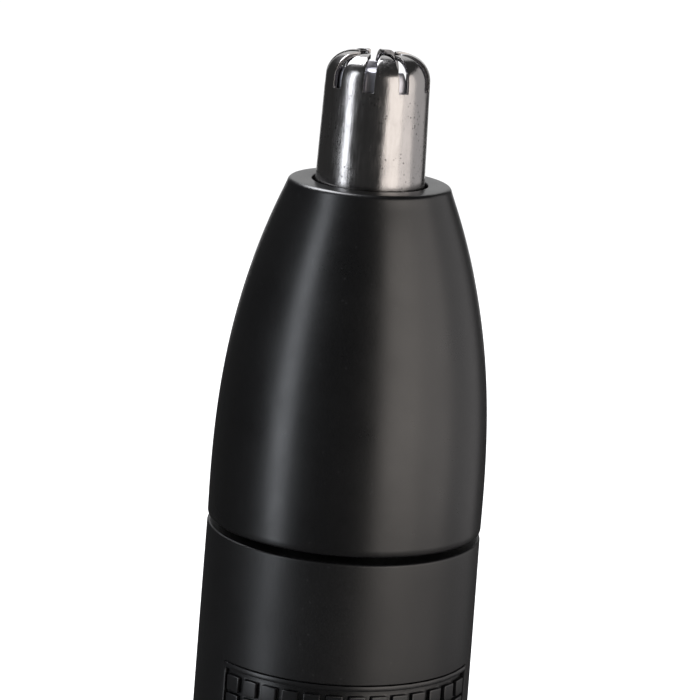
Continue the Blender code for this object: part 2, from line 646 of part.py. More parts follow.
def make_panel_and_switch(shell):
    margin = REST_GAP / 3.0
    edge = math.degrees(margin / BODY_RADIUS)
    band = body_band(margin - PANEL_DEPTH, PANEL_PROUD, PANEL_BOTTOM + margin, PANEL_TOP - margin)
    panel = sector("grip_panel", band, edge - PANEL_HALF_ARC, PANEL_HALF_ARC - edge, "soft_grip")

    track_middle = SWITCH_HEIGHT + SWITCH_TRAVEL / 2.0
    track_width = BUTTON_WIDTH + 2 * TRACK_MARGIN
    track_length = BUTTON_LENGTH + SWITCH_TRAVEL + 2 * TRACK_MARGIN
    reach = BODY_RADIUS + TOOL_REACH
    opening = front_prism("panel_opening", track_width + 2 * margin, track_length + 2 * margin,
                          TRACK_CORNER + margin, track_middle, TOOL_NEAR, reach)
    cut(panel, opening)

    plate_arc = PANEL_HALF_ARC / 2.0
    plate_band = body_band(margin - PANEL_DEPTH, -PLATE_DROP,
                           track_middle - track_length, track_middle + track_length)
    plate = sector("switch_plate", plate_band, -plate_arc, plate_arc, "matt_black")
    combine(plate, front_prism("plate_outline", track_width, track_length, TRACK_CORNER,
                               track_middle, TOOL_NEAR, reach), "INTERSECT")

    window = (STEM_WIDTH + WINDOW_ROOM, STEM_LENGTH + SWITCH_TRAVEL + WINDOW_ROOM, WINDOW_CORNER,
              track_middle, TOOL_NEAR, reach)
    cut(plate, front_prism("plate_window", *window))
    cut(shell, front_prism("shell_window", *window))

    button_band = body_band(BUTTON_FLOAT - PLATE_DROP, BUTTON_PROUD,
                            SWITCH_HEIGHT - BUTTON_LENGTH, SWITCH_HEIGHT + BUTTON_LENGTH)
    button = sector("switch_button", button_band, -plate_arc, plate_arc, "matt_black")
    combine(button, front_prism("button_outline", BUTTON_WIDTH, BUTTON_LENGTH, BUTTON_CORNER,
                                SWITCH_HEIGHT, TOOL_NEAR, reach), "INTERSECT")
    join(button, front_prism("button_stem", STEM_WIDTH, STEM_LENGTH, STEM_CORNER, SWITCH_HEIGHT,
                             CARRIER_INNER + STEM_SHORT, BODY_RADIUS + STEM_ROOT))

    carrier_points = ring_points(CARRIER_INNER, CARRIER_OUTER,
                                 SWITCH_HEIGHT - CARRIER_DOWN, SWITCH_HEIGHT + CARRIER_UP)
    carrier = sector("switch_carrier", carrier_points, -CARRIER_HALF_ARC, CARRIER_HALF_ARC, "white_acetal")
    cut(carrier, front_prism("carrier_hole", STEM_WIDTH + CARRIER_HOLE_ROOM, STEM_LENGTH + CARRIER_HOLE_ROOM,
                             CARRIER_HOLE_CORNER, SWITCH_HEIGHT, TOOL_NEAR, reach))

    leaf_base = SWITCH_HEIGHT + CARRIER_UP + REST_GAP
    leaf_top = leaf_base + LEAF_LENGTH
    leaf = ring_points(LEAF_RADIUS, LEAF_RADIUS + CONTACT_THICKNESS, leaf_base, leaf_top)
    sector("switch_contact", leaf, -LEAF_HALF_ARC, LEAF_HALF_ARC, "brass")
    fixed_base = leaf_top + SWITCH_TRAVEL + REST_GAP
    fixed = ring_points(LEAF_RADIUS, LEAF_RADIUS + CONTACT_THICKNESS, fixed_base, fixed_base + LEAF_LENGTH)
    sector("switch_terminal", fixed, -LEAF_HALF_ARC, LEAF_HALF_ARC, "brass")


def make_drive():
    base = MOUNT_TOP + MOTOR_SHAFT_STUB + REST_GAP
    collar = DRIVE_RADIUS + COLLAR_REACH
    collar_base = COLLAR_TOP - COLLAR_HEIGHT
    points = [(0.0, base), (DRIVE_RADIUS, base), (DRIVE_RADIUS, collar_base), (collar, collar_base)]
    points += [(collar, COLLAR_TOP), (0.0, COLLAR_TOP)]
    shaft = turned("drive_shaft", points, "steel", steps=24)
    half = DRIVE_SQUARE / 2.0
    join(shaft, block("drive_square", (-half, -half, COLLAR_TOP - ROOT), (half, half, DRIVE_TOP)))

    disc = blade_radius(HOLDER_TOP) - BLADE_WALL - HOLDER_INSET
    disc_base = HOLDER_TOP - HOLDER_DISC
    holder = [(0.0, HOLDER_BASE), (HOLDER_STEM, HOLDER_BASE), (HOLDER_STEM, disc_base)]
    holder += [(disc, disc_base), (disc, HOLDER_TOP), (0.0, HOLDER_TOP)]
    blade_holder = turned("blade_holder", holder, "white_acetal", steps=24)
    socket = half + RUN_GAP
    cut(blade_holder, block("holder_socket", (-socket, -socket, HOLDER_BASE - CUT_SPARE),
                            (socket, socket, DRIVE_TOP + REST_GAP)))

    coil_radius = HOLDER_STEM + BLADE_SPRING_WIRE + BLADE_SPRING_GAP
    make_coil("blade_spring", coil_radius, coil_radius, BLADE_SPRING_WIRE, COLLAR_TOP + REST_GAP,
              disc_base - REST_GAP, BLADE_SPRING_TURNS, "steel")


def slot_tool(name, count, width, inner, outer, base, top, start=0.0):
    """A star of radial blocks, the first of them at an angle from the back."""
    bm = bmesh.new()
    for index in range(count):
        made = bmesh.ops.create_cube(bm, size=1.0)["verts"]
        bmesh.ops.scale(bm, vec=(width, outer - inner, top - base), verts=made)
        bmesh.ops.translate(bm, vec=(0, (outer + inner) / 2.0, (top + base) / 2.0), verts=made)
        turn = Matrix.Rotation(math.radians(start) + math.tau * index / count, 3, "Z")
        bmesh.ops.rotate(bm, cent=(0, 0, 0), verts=made, matrix=turn)
    return place(name, bm)


def make_blades():
    rim = blade_radius(TRIMMER_TOP)
    shoulder = min(BLADE_SHOULDER, rim - BLADE_CROWN_HOLE - CROWN_LAND)
    outer = dome_points(blade_radius, FLANGE_TOP, TRIMMER_TOP, shoulder, BLADE_CROWN_HOLE)
    flange = blade_radius(FLANGE_TOP) + BLADE_FLANGE
    inner = dome_points(lambda z: blade_radius(z) - BLADE_WALL, FLANGE_BASE,
                        TRIMMER_TOP - BLADE_WALL, shoulder - BLADE_WALL, BLADE_CROWN_HOLE)
    foot = [(flange, FLANGE_BASE), (flange, FLANGE_TOP)]
    blade = turned("outer_blade", foot + outer + list(reversed(inner)), "steel")
    crown_slot = SLOT_WIDTH / (2.0 * math.tan(math.pi / SLOT_COUNT)) + SLOT_HUB
    cut(blade, slot_tool("blade_slots", SLOT_COUNT, SLOT_WIDTH, crown_slot,
                         BLADE_RADIUS + CUT_SPARE, SLOT_BASE, TRIMMER_TOP + CUT_SPARE))

    wall_outer = rim - BLADE_WALL - BLADE_GAP
    middle = (rim - shoulder, TRIMMER_TOP - shoulder)
    crown_radius = shoulder - BLADE_WALL - BLADE_GAP
    lean = math.degrees(math.asin((CUTTER_TOP - middle[1]) / crown_radius))
    crown = arc_points(middle, crown_radius, 0, lean, 3)
    floor = CUTTER_BASE + CUTTER_FLOOR
    cup = [(0.0, CUTTER_BASE), (wall_outer, CUTTER_BASE)] + crown
    cup += [(crown[-1][0] - CUTTER_EDGE, CUTTER_TOP), (wall_outer - CUTTER_WALL, CUTTER_TOP - shoulder)]
    cup += [(wall_outer - CUTTER_WALL, floor)]
    cup += [(CUTTER_POST, floor), (CUTTER_POST, POST_TOP - POST_ROUND)]
    cup += [(CUTTER_POST - POST_ROUND, POST_TOP), (0.0, POST_TOP)]
    cutter = turned("inner_blade", cup, "steel")
    cut(cutter, slot_tool("cutter_gaps", CUTTER_COUNT, CUTTER_GAP, CUTTER_POST + REST_GAP,
                          BLADE_RADIUS + CUT_SPARE, floor + CUTTER_GAP_FLOOR, CUTTER_TOP + CUT_SPARE,
                          start=180.0 / CUTTER_COUNT))

    seat_inner = blade_radius(SEAT_TOP) - BLADE_WALL
    seat_outer = cover_radius(SEAT_TOP) - COVER_WALL - REST_GAP
    seat_base = SEAT_TOP - SEAT_HEIGHT
    turned("blade_seat", ring_points(seat_inner, seat_outer, seat_base, SEAT_TOP), "grey_plastic")


def make_cover():
    corner_base = COVER_TOP - COVER_CORNER
    foot = cover_radius(COVER_BASE)
    side = [(foot - COVER_LIP, COVER_BASE), (foot, COVER_BASE + COVER_LIP)]
    side += [(cover_radius(z), z) for z in steps_between(COVER_BASE, corner_base, 12)[1:-1]]
    middle = (cover_radius(corner_base) - COVER_CORNER, corner_base)
    side += arc_points(middle, COVER_CORNER, 0, 90, 3)
    hole = BLADE_RADIUS + REST_GAP
    ceiling = COVER_TOP - COVER_TOP_WALL
    inside = [(cover_radius(z) - COVER_WALL, z) for z in steps_between(ceiling, COVER_BASE, 6)]
    points = side + [(hole, COVER_TOP), (hole, ceiling)] + inside
    turned("head_cover", points, "matt_black")


for old in list(bpy.data.objects):
    bpy.data.objects.remove(old, do_unlink=True)
MATERIALS = make_materials()
make_cap()
make_cell()
make_contacts()
make_frame()
make_mount(make_motor())
make_neck()
make_panel_and_switch(make_shell())
make_drive()
make_blades()
make_cover()
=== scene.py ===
import math

import bpy
from mathutils import Matrix, Vector


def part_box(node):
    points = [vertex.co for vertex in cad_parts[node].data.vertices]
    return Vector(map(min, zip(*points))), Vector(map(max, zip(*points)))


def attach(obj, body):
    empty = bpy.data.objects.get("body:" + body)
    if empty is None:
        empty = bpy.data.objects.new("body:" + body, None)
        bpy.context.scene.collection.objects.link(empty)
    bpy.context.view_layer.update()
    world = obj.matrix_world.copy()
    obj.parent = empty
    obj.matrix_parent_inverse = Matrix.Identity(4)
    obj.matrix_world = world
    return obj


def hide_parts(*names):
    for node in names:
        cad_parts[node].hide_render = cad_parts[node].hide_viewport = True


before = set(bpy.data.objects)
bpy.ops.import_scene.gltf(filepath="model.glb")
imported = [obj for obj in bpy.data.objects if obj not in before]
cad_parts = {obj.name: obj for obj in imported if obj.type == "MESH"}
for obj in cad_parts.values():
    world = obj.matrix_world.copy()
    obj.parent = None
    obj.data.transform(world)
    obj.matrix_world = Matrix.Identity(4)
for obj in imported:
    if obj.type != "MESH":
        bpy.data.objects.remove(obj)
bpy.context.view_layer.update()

mm = 0.001


def span(node):  # lowest and highest point of a CAD node, in millimetres
    low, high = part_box(node)
    return low[2] / mm, high[2] / mm


def reachOf(node):  # how far a CAD node goes along X, in millimetres
    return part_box(node)[1][0] / mm


# modelling steps

def enterMesh():
    bpy.ops.object.mode_set(mode="EDIT")


def leaveMesh():
    bpy.ops.object.mode_set(mode="OBJECT")


def deselectAll():
    if bpy.context.object and bpy.context.object.mode != "OBJECT":
        leaveMesh()
    bpy.ops.object.select_all(action="DESELECT")


def takeUp(piece):
    deselectAll()
    piece.select_set(True)
    bpy.context.view_layer.objects.active = piece


def nameNew(name):
    piece = bpy.context.object
    piece.name = name
    piece.data.name = name
    return piece


def pick(piece, kind, test):  # kind is vertices, edges or polygons
    takeUp(piece)
    kinds = ("vertices", "edges", "polygons")
    bpy.context.tool_settings.mesh_select_mode = [kind == each for each in kinds]
    for each in kinds:
        group = getattr(piece.data, each)
        group.foreach_set("select", [False] * len(group))
    for item in getattr(piece.data, kind):
        item.select = test(item)
    enterMesh()


def foldAngles(piece):  # each edge's two vertices -> how far its faces turn, in degrees
    normals = {}
    for face in piece.data.polygons:
        for key in face.edge_keys:
            normals.setdefault(key, []).append(face.normal.copy())
    return {key: math.degrees(pair[0].angle(pair[1])) if len(pair) == 2 else 180.0
            for key, pair in normals.items()}


def roundEdges(piece, width, segments=2, sharper=40.0, test=lambda middle: True):
    folds = foldAngles(piece)
    points = piece.data.vertices

    def chosen(edge):
        middle = (points[edge.vertices[0]].co + points[edge.vertices[1]].co) / 2.0
        return folds[edge.key] > sharper and test(middle)

    pick(piece, "edges", chosen)
    bpy.ops.mesh.bevel(offset=width * mm, segments=segments, affect="EDGES", clamp_overlap=True)
    leaveMesh()


def applyModifier(piece, kind, **settings):
    takeUp(piece)
    modifier = piece.modifiers.new(kind.lower(), kind)
    for key, value in settings.items():
        setattr(modifier, key, value)
    bpy.ops.object.modifier_apply(modifier=modifier.name)


def carve(piece, cutter, operation="DIFFERENCE"):
    applyModifier(piece, "BOOLEAN", operation=operation, solver="EXACT", object=cutter)
    bpy.data.objects.remove(cutter, do_unlink=True)


def cleanUp(piece):
    takeUp(piece)
    enterMesh()
    bpy.ops.mesh.select_all(action="SELECT")
    bpy.ops.mesh.remove_doubles(threshold=0.0002 * mm)
    bpy.ops.mesh.normals_make_consistent(inside=False)
    leaveMesh()


def joinPieces(piece, others):
    takeUp(piece)
    for other in others:
        other.select_set(True)
    bpy.ops.object.join()
    return piece


def moveVertices(piece, place):
    for vertex in piece.data.vertices:
        vertex.co = place(vertex.co)
    piece.data.update()


def finishPiece(piece, body, node, material, smoothAngle=32.0):
    takeUp(piece)
    bpy.ops.object.shade_smooth_by_angle(angle=math.radians(smoothAngle))
    applyModifier(piece, "WEIGHTED_NORMAL", keep_sharp=True)
    piece.data.materials.clear()
    piece.data.materials.append(material)
    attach(piece, body)
    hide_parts(node)
    return piece


# outlines of (radius, height) or (radius, height, corner radius), in millimetres

def softCorners(points, steps=3):
    soft = []
    for index, point in enumerate(points):
        if len(point) < 3:
            soft.append(tuple(point))
            continue
        here = Vector(point[:2])
        back = Vector(points[index - 1][:2]) - here
        ahead = Vector(points[(index + 1) % len(points)][:2]) - here
        half = back.angle(ahead) / 2.0
        reach = min(point[2] / math.tan(half), 0.49 * back.length, 0.49 * ahead.length)
        radius = reach * math.tan(half)
        centre = here + (back.normalized() + ahead.normalized()).normalized() * radius / math.sin(half)
        start = here + back.normalized() * reach - centre
        end = here + ahead.normalized() * reach - centre
        first = math.atan2(start.y, start.x)
        sweep = (math.atan2(end.y, end.x) - first + math.pi) % math.tau - math.pi
        for step in range(steps + 1):
            turn = first + sweep * step / steps
            soft.append((centre.x + radius * math.cos(turn), centre.y + radius * math.sin(turn)))
    return soft


def arcOutline(centre, radius, first, last, steps):
    turns = [math.radians(first + (last - first) * step / steps) for step in range(steps + 1)]
    return [(centre[0] + radius * math.cos(turn), centre[1] + radius * math.sin(turn)) for turn in turns]


def stations(low, high, count):
    return [low + (high - low) * step / count for step in range(count + 1)]


def drawOutline(name, points, depth=0.0):
    closed = points[0][0] != 0.0 or points[-1][0] != 0.0
    path = points + [points[0]] if closed else points
    deselectAll()
    bpy.ops.mesh.primitive_plane_add(size=mm)
    piece = nameNew(name)
    enterMesh()
    bpy.ops.mesh.select_mode(type="VERT")
    bpy.ops.mesh.select_all(action="SELECT")
    bpy.ops.mesh.merge(type="CENTER")
    bpy.ops.transform.translate(value=(path[0][0] * mm, depth * mm, path[0][1] * mm))
    for here, there in zip(path, path[1:]):
        move = ((there[0] - here[0]) * mm, 0.0, (there[1] - here[1]) * mm)
        bpy.ops.mesh.extrude_region_move(TRANSFORM_OT_translate={"value": move})
    bpy.ops.mesh.select_all(action="SELECT")
    bpy.ops.mesh.remove_doubles(threshold=0.0002 * mm)
    return piece


def turnOutline(degrees):  # from +X towards the front
    bpy.ops.transform.rotate(value=math.radians(degrees), orient_axis="Z", center_override=(0, 0, 0))


def spinOutline(degrees, steps):
    bpy.ops.mesh.spin(steps=steps, angle=math.radians(degrees), center=(0, 0, 0), axis=(0, 0, 1))


def turnPiece(name, points, steps=96, start=0.0):  # a full turn
    piece = drawOutline(name, softCorners(points))
    turnOutline(start)
    spinOutline(360.0, steps)
    cleanUp(piece)
    return piece


def turnSector(name, points, first, last, steps):  # degrees from the front towards +X
    piece = drawOutline(name, softCorners(points))
    bpy.ops.mesh.edge_face_add()
    turnOutline(90.0 - last)
    spinOutline(last - first, steps)
    cleanUp(piece)
    return piece


def roundedLoop(width, height, corner, middle, steps=6):
    points = []
    for side, up, first in ((1, 1, 0), (-1, 1, 90), (-1, -1, 180), (1, -1, 270)):
        centre = (side * (width / 2.0 - corner), middle + up * (height / 2.0 - corner))
        points += arcOutline(centre, corner, first, first + 90.0, steps)
    return points


def frontBlock(name, width, height, corner, middle, near, far, edge=0.0):
    piece = drawOutline(name, roundedLoop(width, height, corner, middle), depth=-near)
    bpy.ops.mesh.edge_face_add()
    bpy.ops.mesh.extrude_region_move(TRANSFORM_OT_translate={"value": (0.0, (near - far) * mm, 0.0)})
    cleanUp(piece)
    if edge:
        roundEdges(piece, edge, 3, test=lambda middle: middle.y < -0.999 * far * mm)
    return piece


def plainBlock(name, low, high, edge=0.0):
    size = [there - here for here, there in zip(low, high)]
    middle = [(there + here) / 2.0 * mm for here, there in zip(low, high)]
    deselectAll()
    bpy.ops.mesh.primitive_cube_add(size=1.0, location=middle, scale=[length * mm for length in size])
    piece = nameNew(name)
    bpy.ops.object.transform_apply(location=True, rotation=True, scale=True)
    if edge:
        roundEdges(piece, edge, 2)
    return piece


def ringOutline(inner, outer, low, high, innerRound=0.0, outerRound=0.0):
    corners = [(inner, low), (outer, low), (outer, high), (inner, high)]
    if not innerRound:
        return corners
    rounds = (innerRound, outerRound, outerRound, innerRound)
    return [(*corner, size) for corner, size in zip(corners, rounds)]


def threeSectors(piece, name, ring, first, last, steps, operation="DIFFERENCE"):  # evenly round the axis
    for index in range(3):
        turn = index * 120.0
        carve(piece, turnSector(name, ring, first + turn, last + turn, steps), operation)


def offAxis(piece, aside, back=0.0):
    moveVertices(piece, lambda point: point + Vector((aside * mm, back * mm, 0.0)))
    return piece


def drill(piece, radius, low, high, aside, back=0.0, steps=24, start=0.0):
    hole = [(0.0, low), (radius, low), (radius, high), (0.0, high)]
    carve(piece, offAxis(turnPiece("hole", hole, steps, start), aside, back))


def sliceUpright(piece, halfWidth):  # strips narrow enough to follow the barrel
    pitch = 0.9
    count = math.ceil(halfWidth / pitch)
    for index in range(1 - count, count):
        pick(piece, "vertices", lambda vertex: True)
        bpy.ops.mesh.bisect(plane_co=(index * pitch * mm, 0, 0), plane_no=(1, 0, 0))
    leaveMesh()


# procedural materials

def newMaterial(name, colour, roughness, metallic=0.0, **sockets):
    material = bpy.data.materials.new(name)
    material.use_nodes = True
    shader = material.node_tree.nodes["Principled BSDF"]
    shader.inputs["Base Color"].default_value = (*colour, 1.0)
    shader.inputs["Roughness"].default_value = roughness
    shader.inputs["Metallic"].default_value = metallic
    for socket, value in sockets.items():
        shader.inputs[socket.replace("_", " ")].default_value = value
    return material, material.node_tree, shader


def objectSpace(tree, stretch=(1.0, 1.0, 1.0), turn=(0.0, 0.0, 0.0)):
    place = tree.nodes.new("ShaderNodeTexCoord")
    mapping = tree.nodes.new("ShaderNodeMapping")
    mapping.inputs["Scale"].default_value = stretch
    mapping.inputs["Rotation"].default_value = turn
    tree.links.new(place.outputs["Object"], mapping.inputs["Vector"])
    return mapping.outputs["Vector"]


def feed(tree, shader, **values):
    for socket, value in values.items():
        tree.links.new(value, shader.inputs[socket.replace("_", " ")])


def noiseOf(tree, vector, perMetre, detail=3.0, rough=0.5):
    noise = tree.nodes.new("ShaderNodeTexNoise")
    noise.inputs["Scale"].default_value = perMetre
    noise.inputs["Detail"].default_value = detail
    noise.inputs["Roughness"].default_value = rough
    tree.links.new(vector, noise.inputs["Vector"])
    return noise.outputs["Fac"]


def cellsOf(tree, vector, perMetre):
    cells = tree.nodes.new("ShaderNodeTexVoronoi")
    cells.inputs["Scale"].default_value = perMetre
    tree.links.new(vector, cells.inputs["Vector"])
    return cells.outputs["Distance"]


def ramp(tree, value, fromLow, fromHigh, toLow, toHigh):
    remap = tree.nodes.new("ShaderNodeMapRange")
    ends = {"From Min": fromLow, "From Max": fromHigh, "To Min": toLow, "To Max": toHigh}
    for socket, number in ends.items():
        remap.inputs[socket].default_value = number
    tree.links.new(value, remap.inputs["Value"])
    return remap.outputs["Result"]


def sumOf(tree, first, second, operation="ADD"):
    total = tree.nodes.new("ShaderNodeMath")
    total.operation = operation
    tree.links.new(first, total.inputs[0])
    if isinstance(second, float):
        total.inputs[1].default_value = second
    else:
        tree.links.new(second, total.inputs[1])
    return total.outputs["Value"]


def blendColour(tree, share, first, second):
    mix = tree.nodes.new("ShaderNodeMix")
    mix.data_type = "RGBA"
    tree.links.new(share, mix.inputs["Factor"])
    for socket, colour in (("A", first), ("B", second)):
        target = [each for each in mix.inputs if each.name == socket and each.type == "RGBA"][0]
        if isinstance(colour, tuple):
            target.default_value = (*colour, 1.0)
        else:
            tree.links.new(colour, target)
    return [each for each in mix.outputs if each.type == "RGBA"][0]


def bumpOf(tree, shader, height, depth, before=None):  # depth in millimetres
    bump = tree.nodes.new("ShaderNodeBump")
    bump.inputs["Strength"].default_value = 1.0
    bump.inputs["Distance"].default_value = depth * mm
    tree.links.new(height, bump.inputs["Height"])
    if before:
        tree.links.new(before, bump.inputs["Normal"])
    tree.links.new(bump.outputs["Normal"], shader.inputs["Normal"])
    return bump.outputs["Normal"]


def mouldedPlastic(name, colour, roughness, grain, grainDepth, level=0.5):
    material, tree, shader = newMaterial(name, colour, roughness, Specular_IOR_Level=level)
    place = objectSpace(tree)
    pebble = noiseOf(tree, place, grain, 2.0)
    smudge = noiseOf(tree, place, 170.0, 4.0, 0.6)
    speck = ramp(tree, cellsOf(tree, place, 900.0), 0.05, 0.11, 1.0, 0.0)
    rough = ramp(tree, smudge, 0.3, 0.7, roughness - 0.03, roughness + 0.04)
    paler = tuple(channel * 1.5 + 0.0005 for channel in colour)
    mottled = blendColour(tree, ramp(tree, pebble, 0.35, 0.75, 0.0, 0.6), colour, paler)
    dusty = tuple(channel * 1.8 + 0.004 for channel in colour)
    feed(tree, shader, Roughness=sumOf(tree, rough, ramp(tree, pebble, 0.3, 0.7, -0.03, 0.03)),
         Base_Color=blendColour(tree, speck, mottled, dusty))
    wave = bumpOf(tree, shader, noiseOf(tree, objectSpace(tree, (1.0, 1.0, 0.35)), 260.0, 2.0), 0.012)
    bumpOf(tree, shader, pebble, grainDepth, wave)
    return material


def brushedSteel(name, colour, roughness, lines=5200.0, lineDepth=0.0055, pits=0.0):
    material, tree, shader = newMaterial(name, colour, roughness, 1.0)
    along = objectSpace(tree, (1.0, 1.0, 0.07))
    brushing = noiseOf(tree, along, lines, 3.0, 0.6)
    cloud = noiseOf(tree, objectSpace(tree, (1.0, 1.0, 0.5)), 620.0, 4.0, 0.65)
    pit = sumOf(tree, ramp(tree, cellsOf(tree, objectSpace(tree), 2600.0), 0.16, 0.26, 1.0, 0.0),
                ramp(tree, cloud, 0.47, 0.57, 0.0, 1.0), "MULTIPLY")
    worn = ramp(tree, cloud, 0.3, 0.7, roughness - 0.05, roughness + 0.08)
    dull = tuple(channel * 0.82 for channel in colour)
    stained = blendColour(tree, ramp(tree, cloud, 0.4, 0.7, 0.0, 0.5), colour, dull)
    dark = tuple(channel * 0.3 for channel in colour)
    feed(tree, shader, Roughness=sumOf(tree, worn, ramp(tree, brushing, 0.3, 0.7, -0.04, 0.06)),
         Base_Color=blendColour(tree, sumOf(tree, pit, pits, "MULTIPLY"), stained, dark))
    wave = bumpOf(tree, shader, cloud, 0.013)
    bumpOf(tree, shader, brushing, lineDepth, wave)
    return material


coverPlastic = mouldedPlastic("coverPlastic", (0.0015, 0.0015, 0.0019), 0.32, 9000.0, 0.0012, 0.8)
bodyPlastic = mouldedPlastic("bodyPlastic", (0.0018, 0.0018, 0.0023), 0.41, 7000.0, 0.0026, 0.8)
gripPlastic = mouldedPlastic("gripPlastic", (0.002, 0.002, 0.0025), 0.34, 8000.0, 0.0016, 0.8)
greyPlastic = mouldedPlastic("greyPlastic", (0.17, 0.18, 0.19), 0.48, 5000.0, 0.003)
whiteAcetal = mouldedPlastic("whiteAcetal", (0.72, 0.72, 0.69), 0.4, 3500.0, 0.002)
sealRubber = mouldedPlastic("sealRubber", (0.018, 0.018, 0.02), 0.62, 6000.0, 0.006, 0.4)
headSteel = brushedSteel("headSteel", (0.47, 0.455, 0.45), 0.19, pits=0.85)
cutterSteel = brushedSteel("cutterSteel", (0.7, 0.7, 0.76), 0.4, 3800.0, 0.003, 0.3)
zincPlate = brushedSteel("zincPlate", (0.52, 0.54, 0.57), 0.3, 2400.0, 0.004, 0.3)
warmBrass = brushedSteel("warmBrass", (0.7, 0.49, 0.22), 0.27, 2600.0, 0.003, 0.2)
print("materials mixed")

# camera, floor and light

bodyLow, bodyHigh = span("body_shell")
coverLow, coverHigh = span("head_cover")
view = {"lens": 169.71, "azimuth": -10.8, "distance": 285.04, "height": 81.18, "aimAside": -0.624,
        "aimHeight": 16.126, "roll": 4.356}
azimuth = math.radians(view["azimuth"])
towardCamera = Vector((math.sin(azimuth), -math.cos(azimuth), 0.0))
pictureRight = Vector((math.cos(azimuth), math.sin(azimuth), 0.0))


def setCamera():
    rim = Vector((0.0, 0.0, bodyHigh))
    place = rim + towardCamera * view["distance"] + Vector((0.0, 0.0, view["height"]))
    aim = rim + pictureRight * view["aimAside"] + Vector((0.0, 0.0, view["aimHeight"]))
    look = (aim - place).normalized()
    level = look.cross(Vector((0.0, 0.0, 1.0))).normalized()
    upright = level.cross(look)
    tip = math.radians(view["roll"])
    right = level * math.cos(tip) + upright * math.sin(tip)
    up = upright * math.cos(tip) - level * math.sin(tip)
    deselectAll()
    bpy.ops.object.camera_add(location=place * mm)
    camera = nameNew("camera")
    camera.data.lens = view["lens"]
    camera.data.sensor_width = 36.0
    camera.data.clip_start = 0.01
    turned = Matrix((right, up, -look)).transposed().to_4x4()
    turned.translation = place * mm
    camera.matrix_world = turned
    bpy.context.scene.camera = camera


def addLight(name, turn, lift, distance, aim, width, height, glow, colour):  # aim is a height on the axis
    aside, up = math.radians(turn), math.radians(lift)
    level = towardCamera * math.cos(aside) + pictureRight * math.sin(aside)
    out = level * math.cos(up) + Vector((0.0, 0.0, math.sin(up)))
    deselectAll()
    bpy.ops.object.light_add(type="AREA", location=(out * distance + Vector((0.0, 0.0, aim))) * mm)
    light = nameNew(name)
    light.rotation_euler = out.to_track_quat("Z", "Y").to_euler()
    light.data.shape = "RECTANGLE"
    light.data.size = width * mm
    light.data.size_y = height * mm
    light.data.energy = glow * math.pi * width * height * mm * mm
    light.data.color = colour
    light.visible_camera = False


def setStage():
    deselectAll()
    bpy.ops.mesh.primitive_grid_add(x_subdivisions=8, y_subdivisions=8, size=8.0)
    floor = nameNew("floor")
    paper, tree, shader = newMaterial("floorPaper", (0.9, 0.9, 0.9), 0.7, Specular_IOR_Level=0.0)
    fibre = noiseOf(tree, objectSpace(tree), 240.0, 4.0)
    feed(tree, shader, Base_Color=blendColour(tree, fibre, (0.88, 0.88, 0.885), (0.92, 0.92, 0.92)))
    floor.data.materials.append(paper)
    floor.visible_glossy = False

    world = bpy.data.worlds.new("studio")
    bpy.context.scene.world = world
    world.use_nodes = True
    tree = world.node_tree
    sky = tree.nodes["Background"]
    path = tree.nodes.new("ShaderNodeLightPath")
    sky.inputs["Color"].default_value = (1.0, 1.0, 1.0, 1.0)
    tree.links.new(ramp(tree, path.outputs["Is Glossy Ray"], 0.0, 1.0, 1.2, 0.04), sky.inputs["Strength"])

    addLight("leftStrip", -58.5, 0.0, 270.0, 170.0, 64.0, 340.0, 3.4, (0.9, 0.94, 1.0))
    addLight("rightPanel", 42.5, 0.0, 290.0, 160.0, 190.0, 320.0, 1.8, (1.0, 0.93, 0.87))
    addLight("rightSide", 76.0, 0.0, 290.0, 160.0, 150.0, 320.0, 1.3, (1.0, 0.94, 0.9))
    addLight("rightRear", 113.0, 0.0, 290.0, 160.0, 235.0, 320.0, 0.55, (1.0, 0.97, 0.97))
    addLight("backPanel", 180.0, 0.0, 600.0, 350.0, 420.0, 700.0, 0.72, (1.0, 1.0, 1.0))
    addLight("topBox", -140.0, 58.0, 330.0, coverHigh, 190.0, 190.0, 11.0, (0.95, 0.96, 1.0))


setCamera()
setStage()
bpy.context.scene.view_settings.view_transform = "Standard"
print("stage set")

# handle

barrel = {"widest": 12.5, "widestAt": 58.0, "rimRadius": 12.25, "footRadius": 11.55, "footAt": 12.0,
          "footPower": 2.2, "bore": 10.3, "socketBore": 9.75, "socketTop": 21.5, "rimRound": 0.22,
          "halfArc": 61.5, "recess": 0.75, "recessLow": 24.0, "recessHigh": bodyHigh - 10.9, "lip": 11.9,
          "seam": 1.5}
window = {"width": 4.4, "height": 10.6, "corner": 0.8, "middle": 55.0}  # the switch's stem goes through it
bayonet = {"lug": (-10.0, 10.0), "channel": (-53.0, 13.0), "lugRounds": (0.1, 0.15), "socketInner": 9.4,
           "socketOuter": 10.35, "socketBelowCap": 0.7, "room": 0.3}


def barrelRadius(height):
    if height >= barrel["widestAt"]:
        rise = (height - barrel["widestAt"]) / (bodyHigh - barrel["widestAt"])
        return barrel["widest"] - (barrel["widest"] - barrel["rimRadius"]) * rise ** 2
    fall = (barrel["widestAt"] - height) / (barrel["widestAt"] - barrel["footAt"])
    return barrel["widest"] - (barrel["widest"] - barrel["footRadius"]) * fall ** barrel["footPower"]


def wrapOnBarrel(piece, level):  # flat front at y = 0 goes to level above the barrel's skin
    def wrapped(point):
        turn = point.x / (barrel["widest"] * mm)
        radius = (barrelRadius(point.z / mm) + level) * mm - point.y
        return Vector((radius * math.sin(turn), -radius * math.cos(turn), point.z))

    moveVertices(piece, wrapped)


def facing(point):  # degrees from the front towards +X
    return math.degrees(math.atan2(point.x, -point.y))


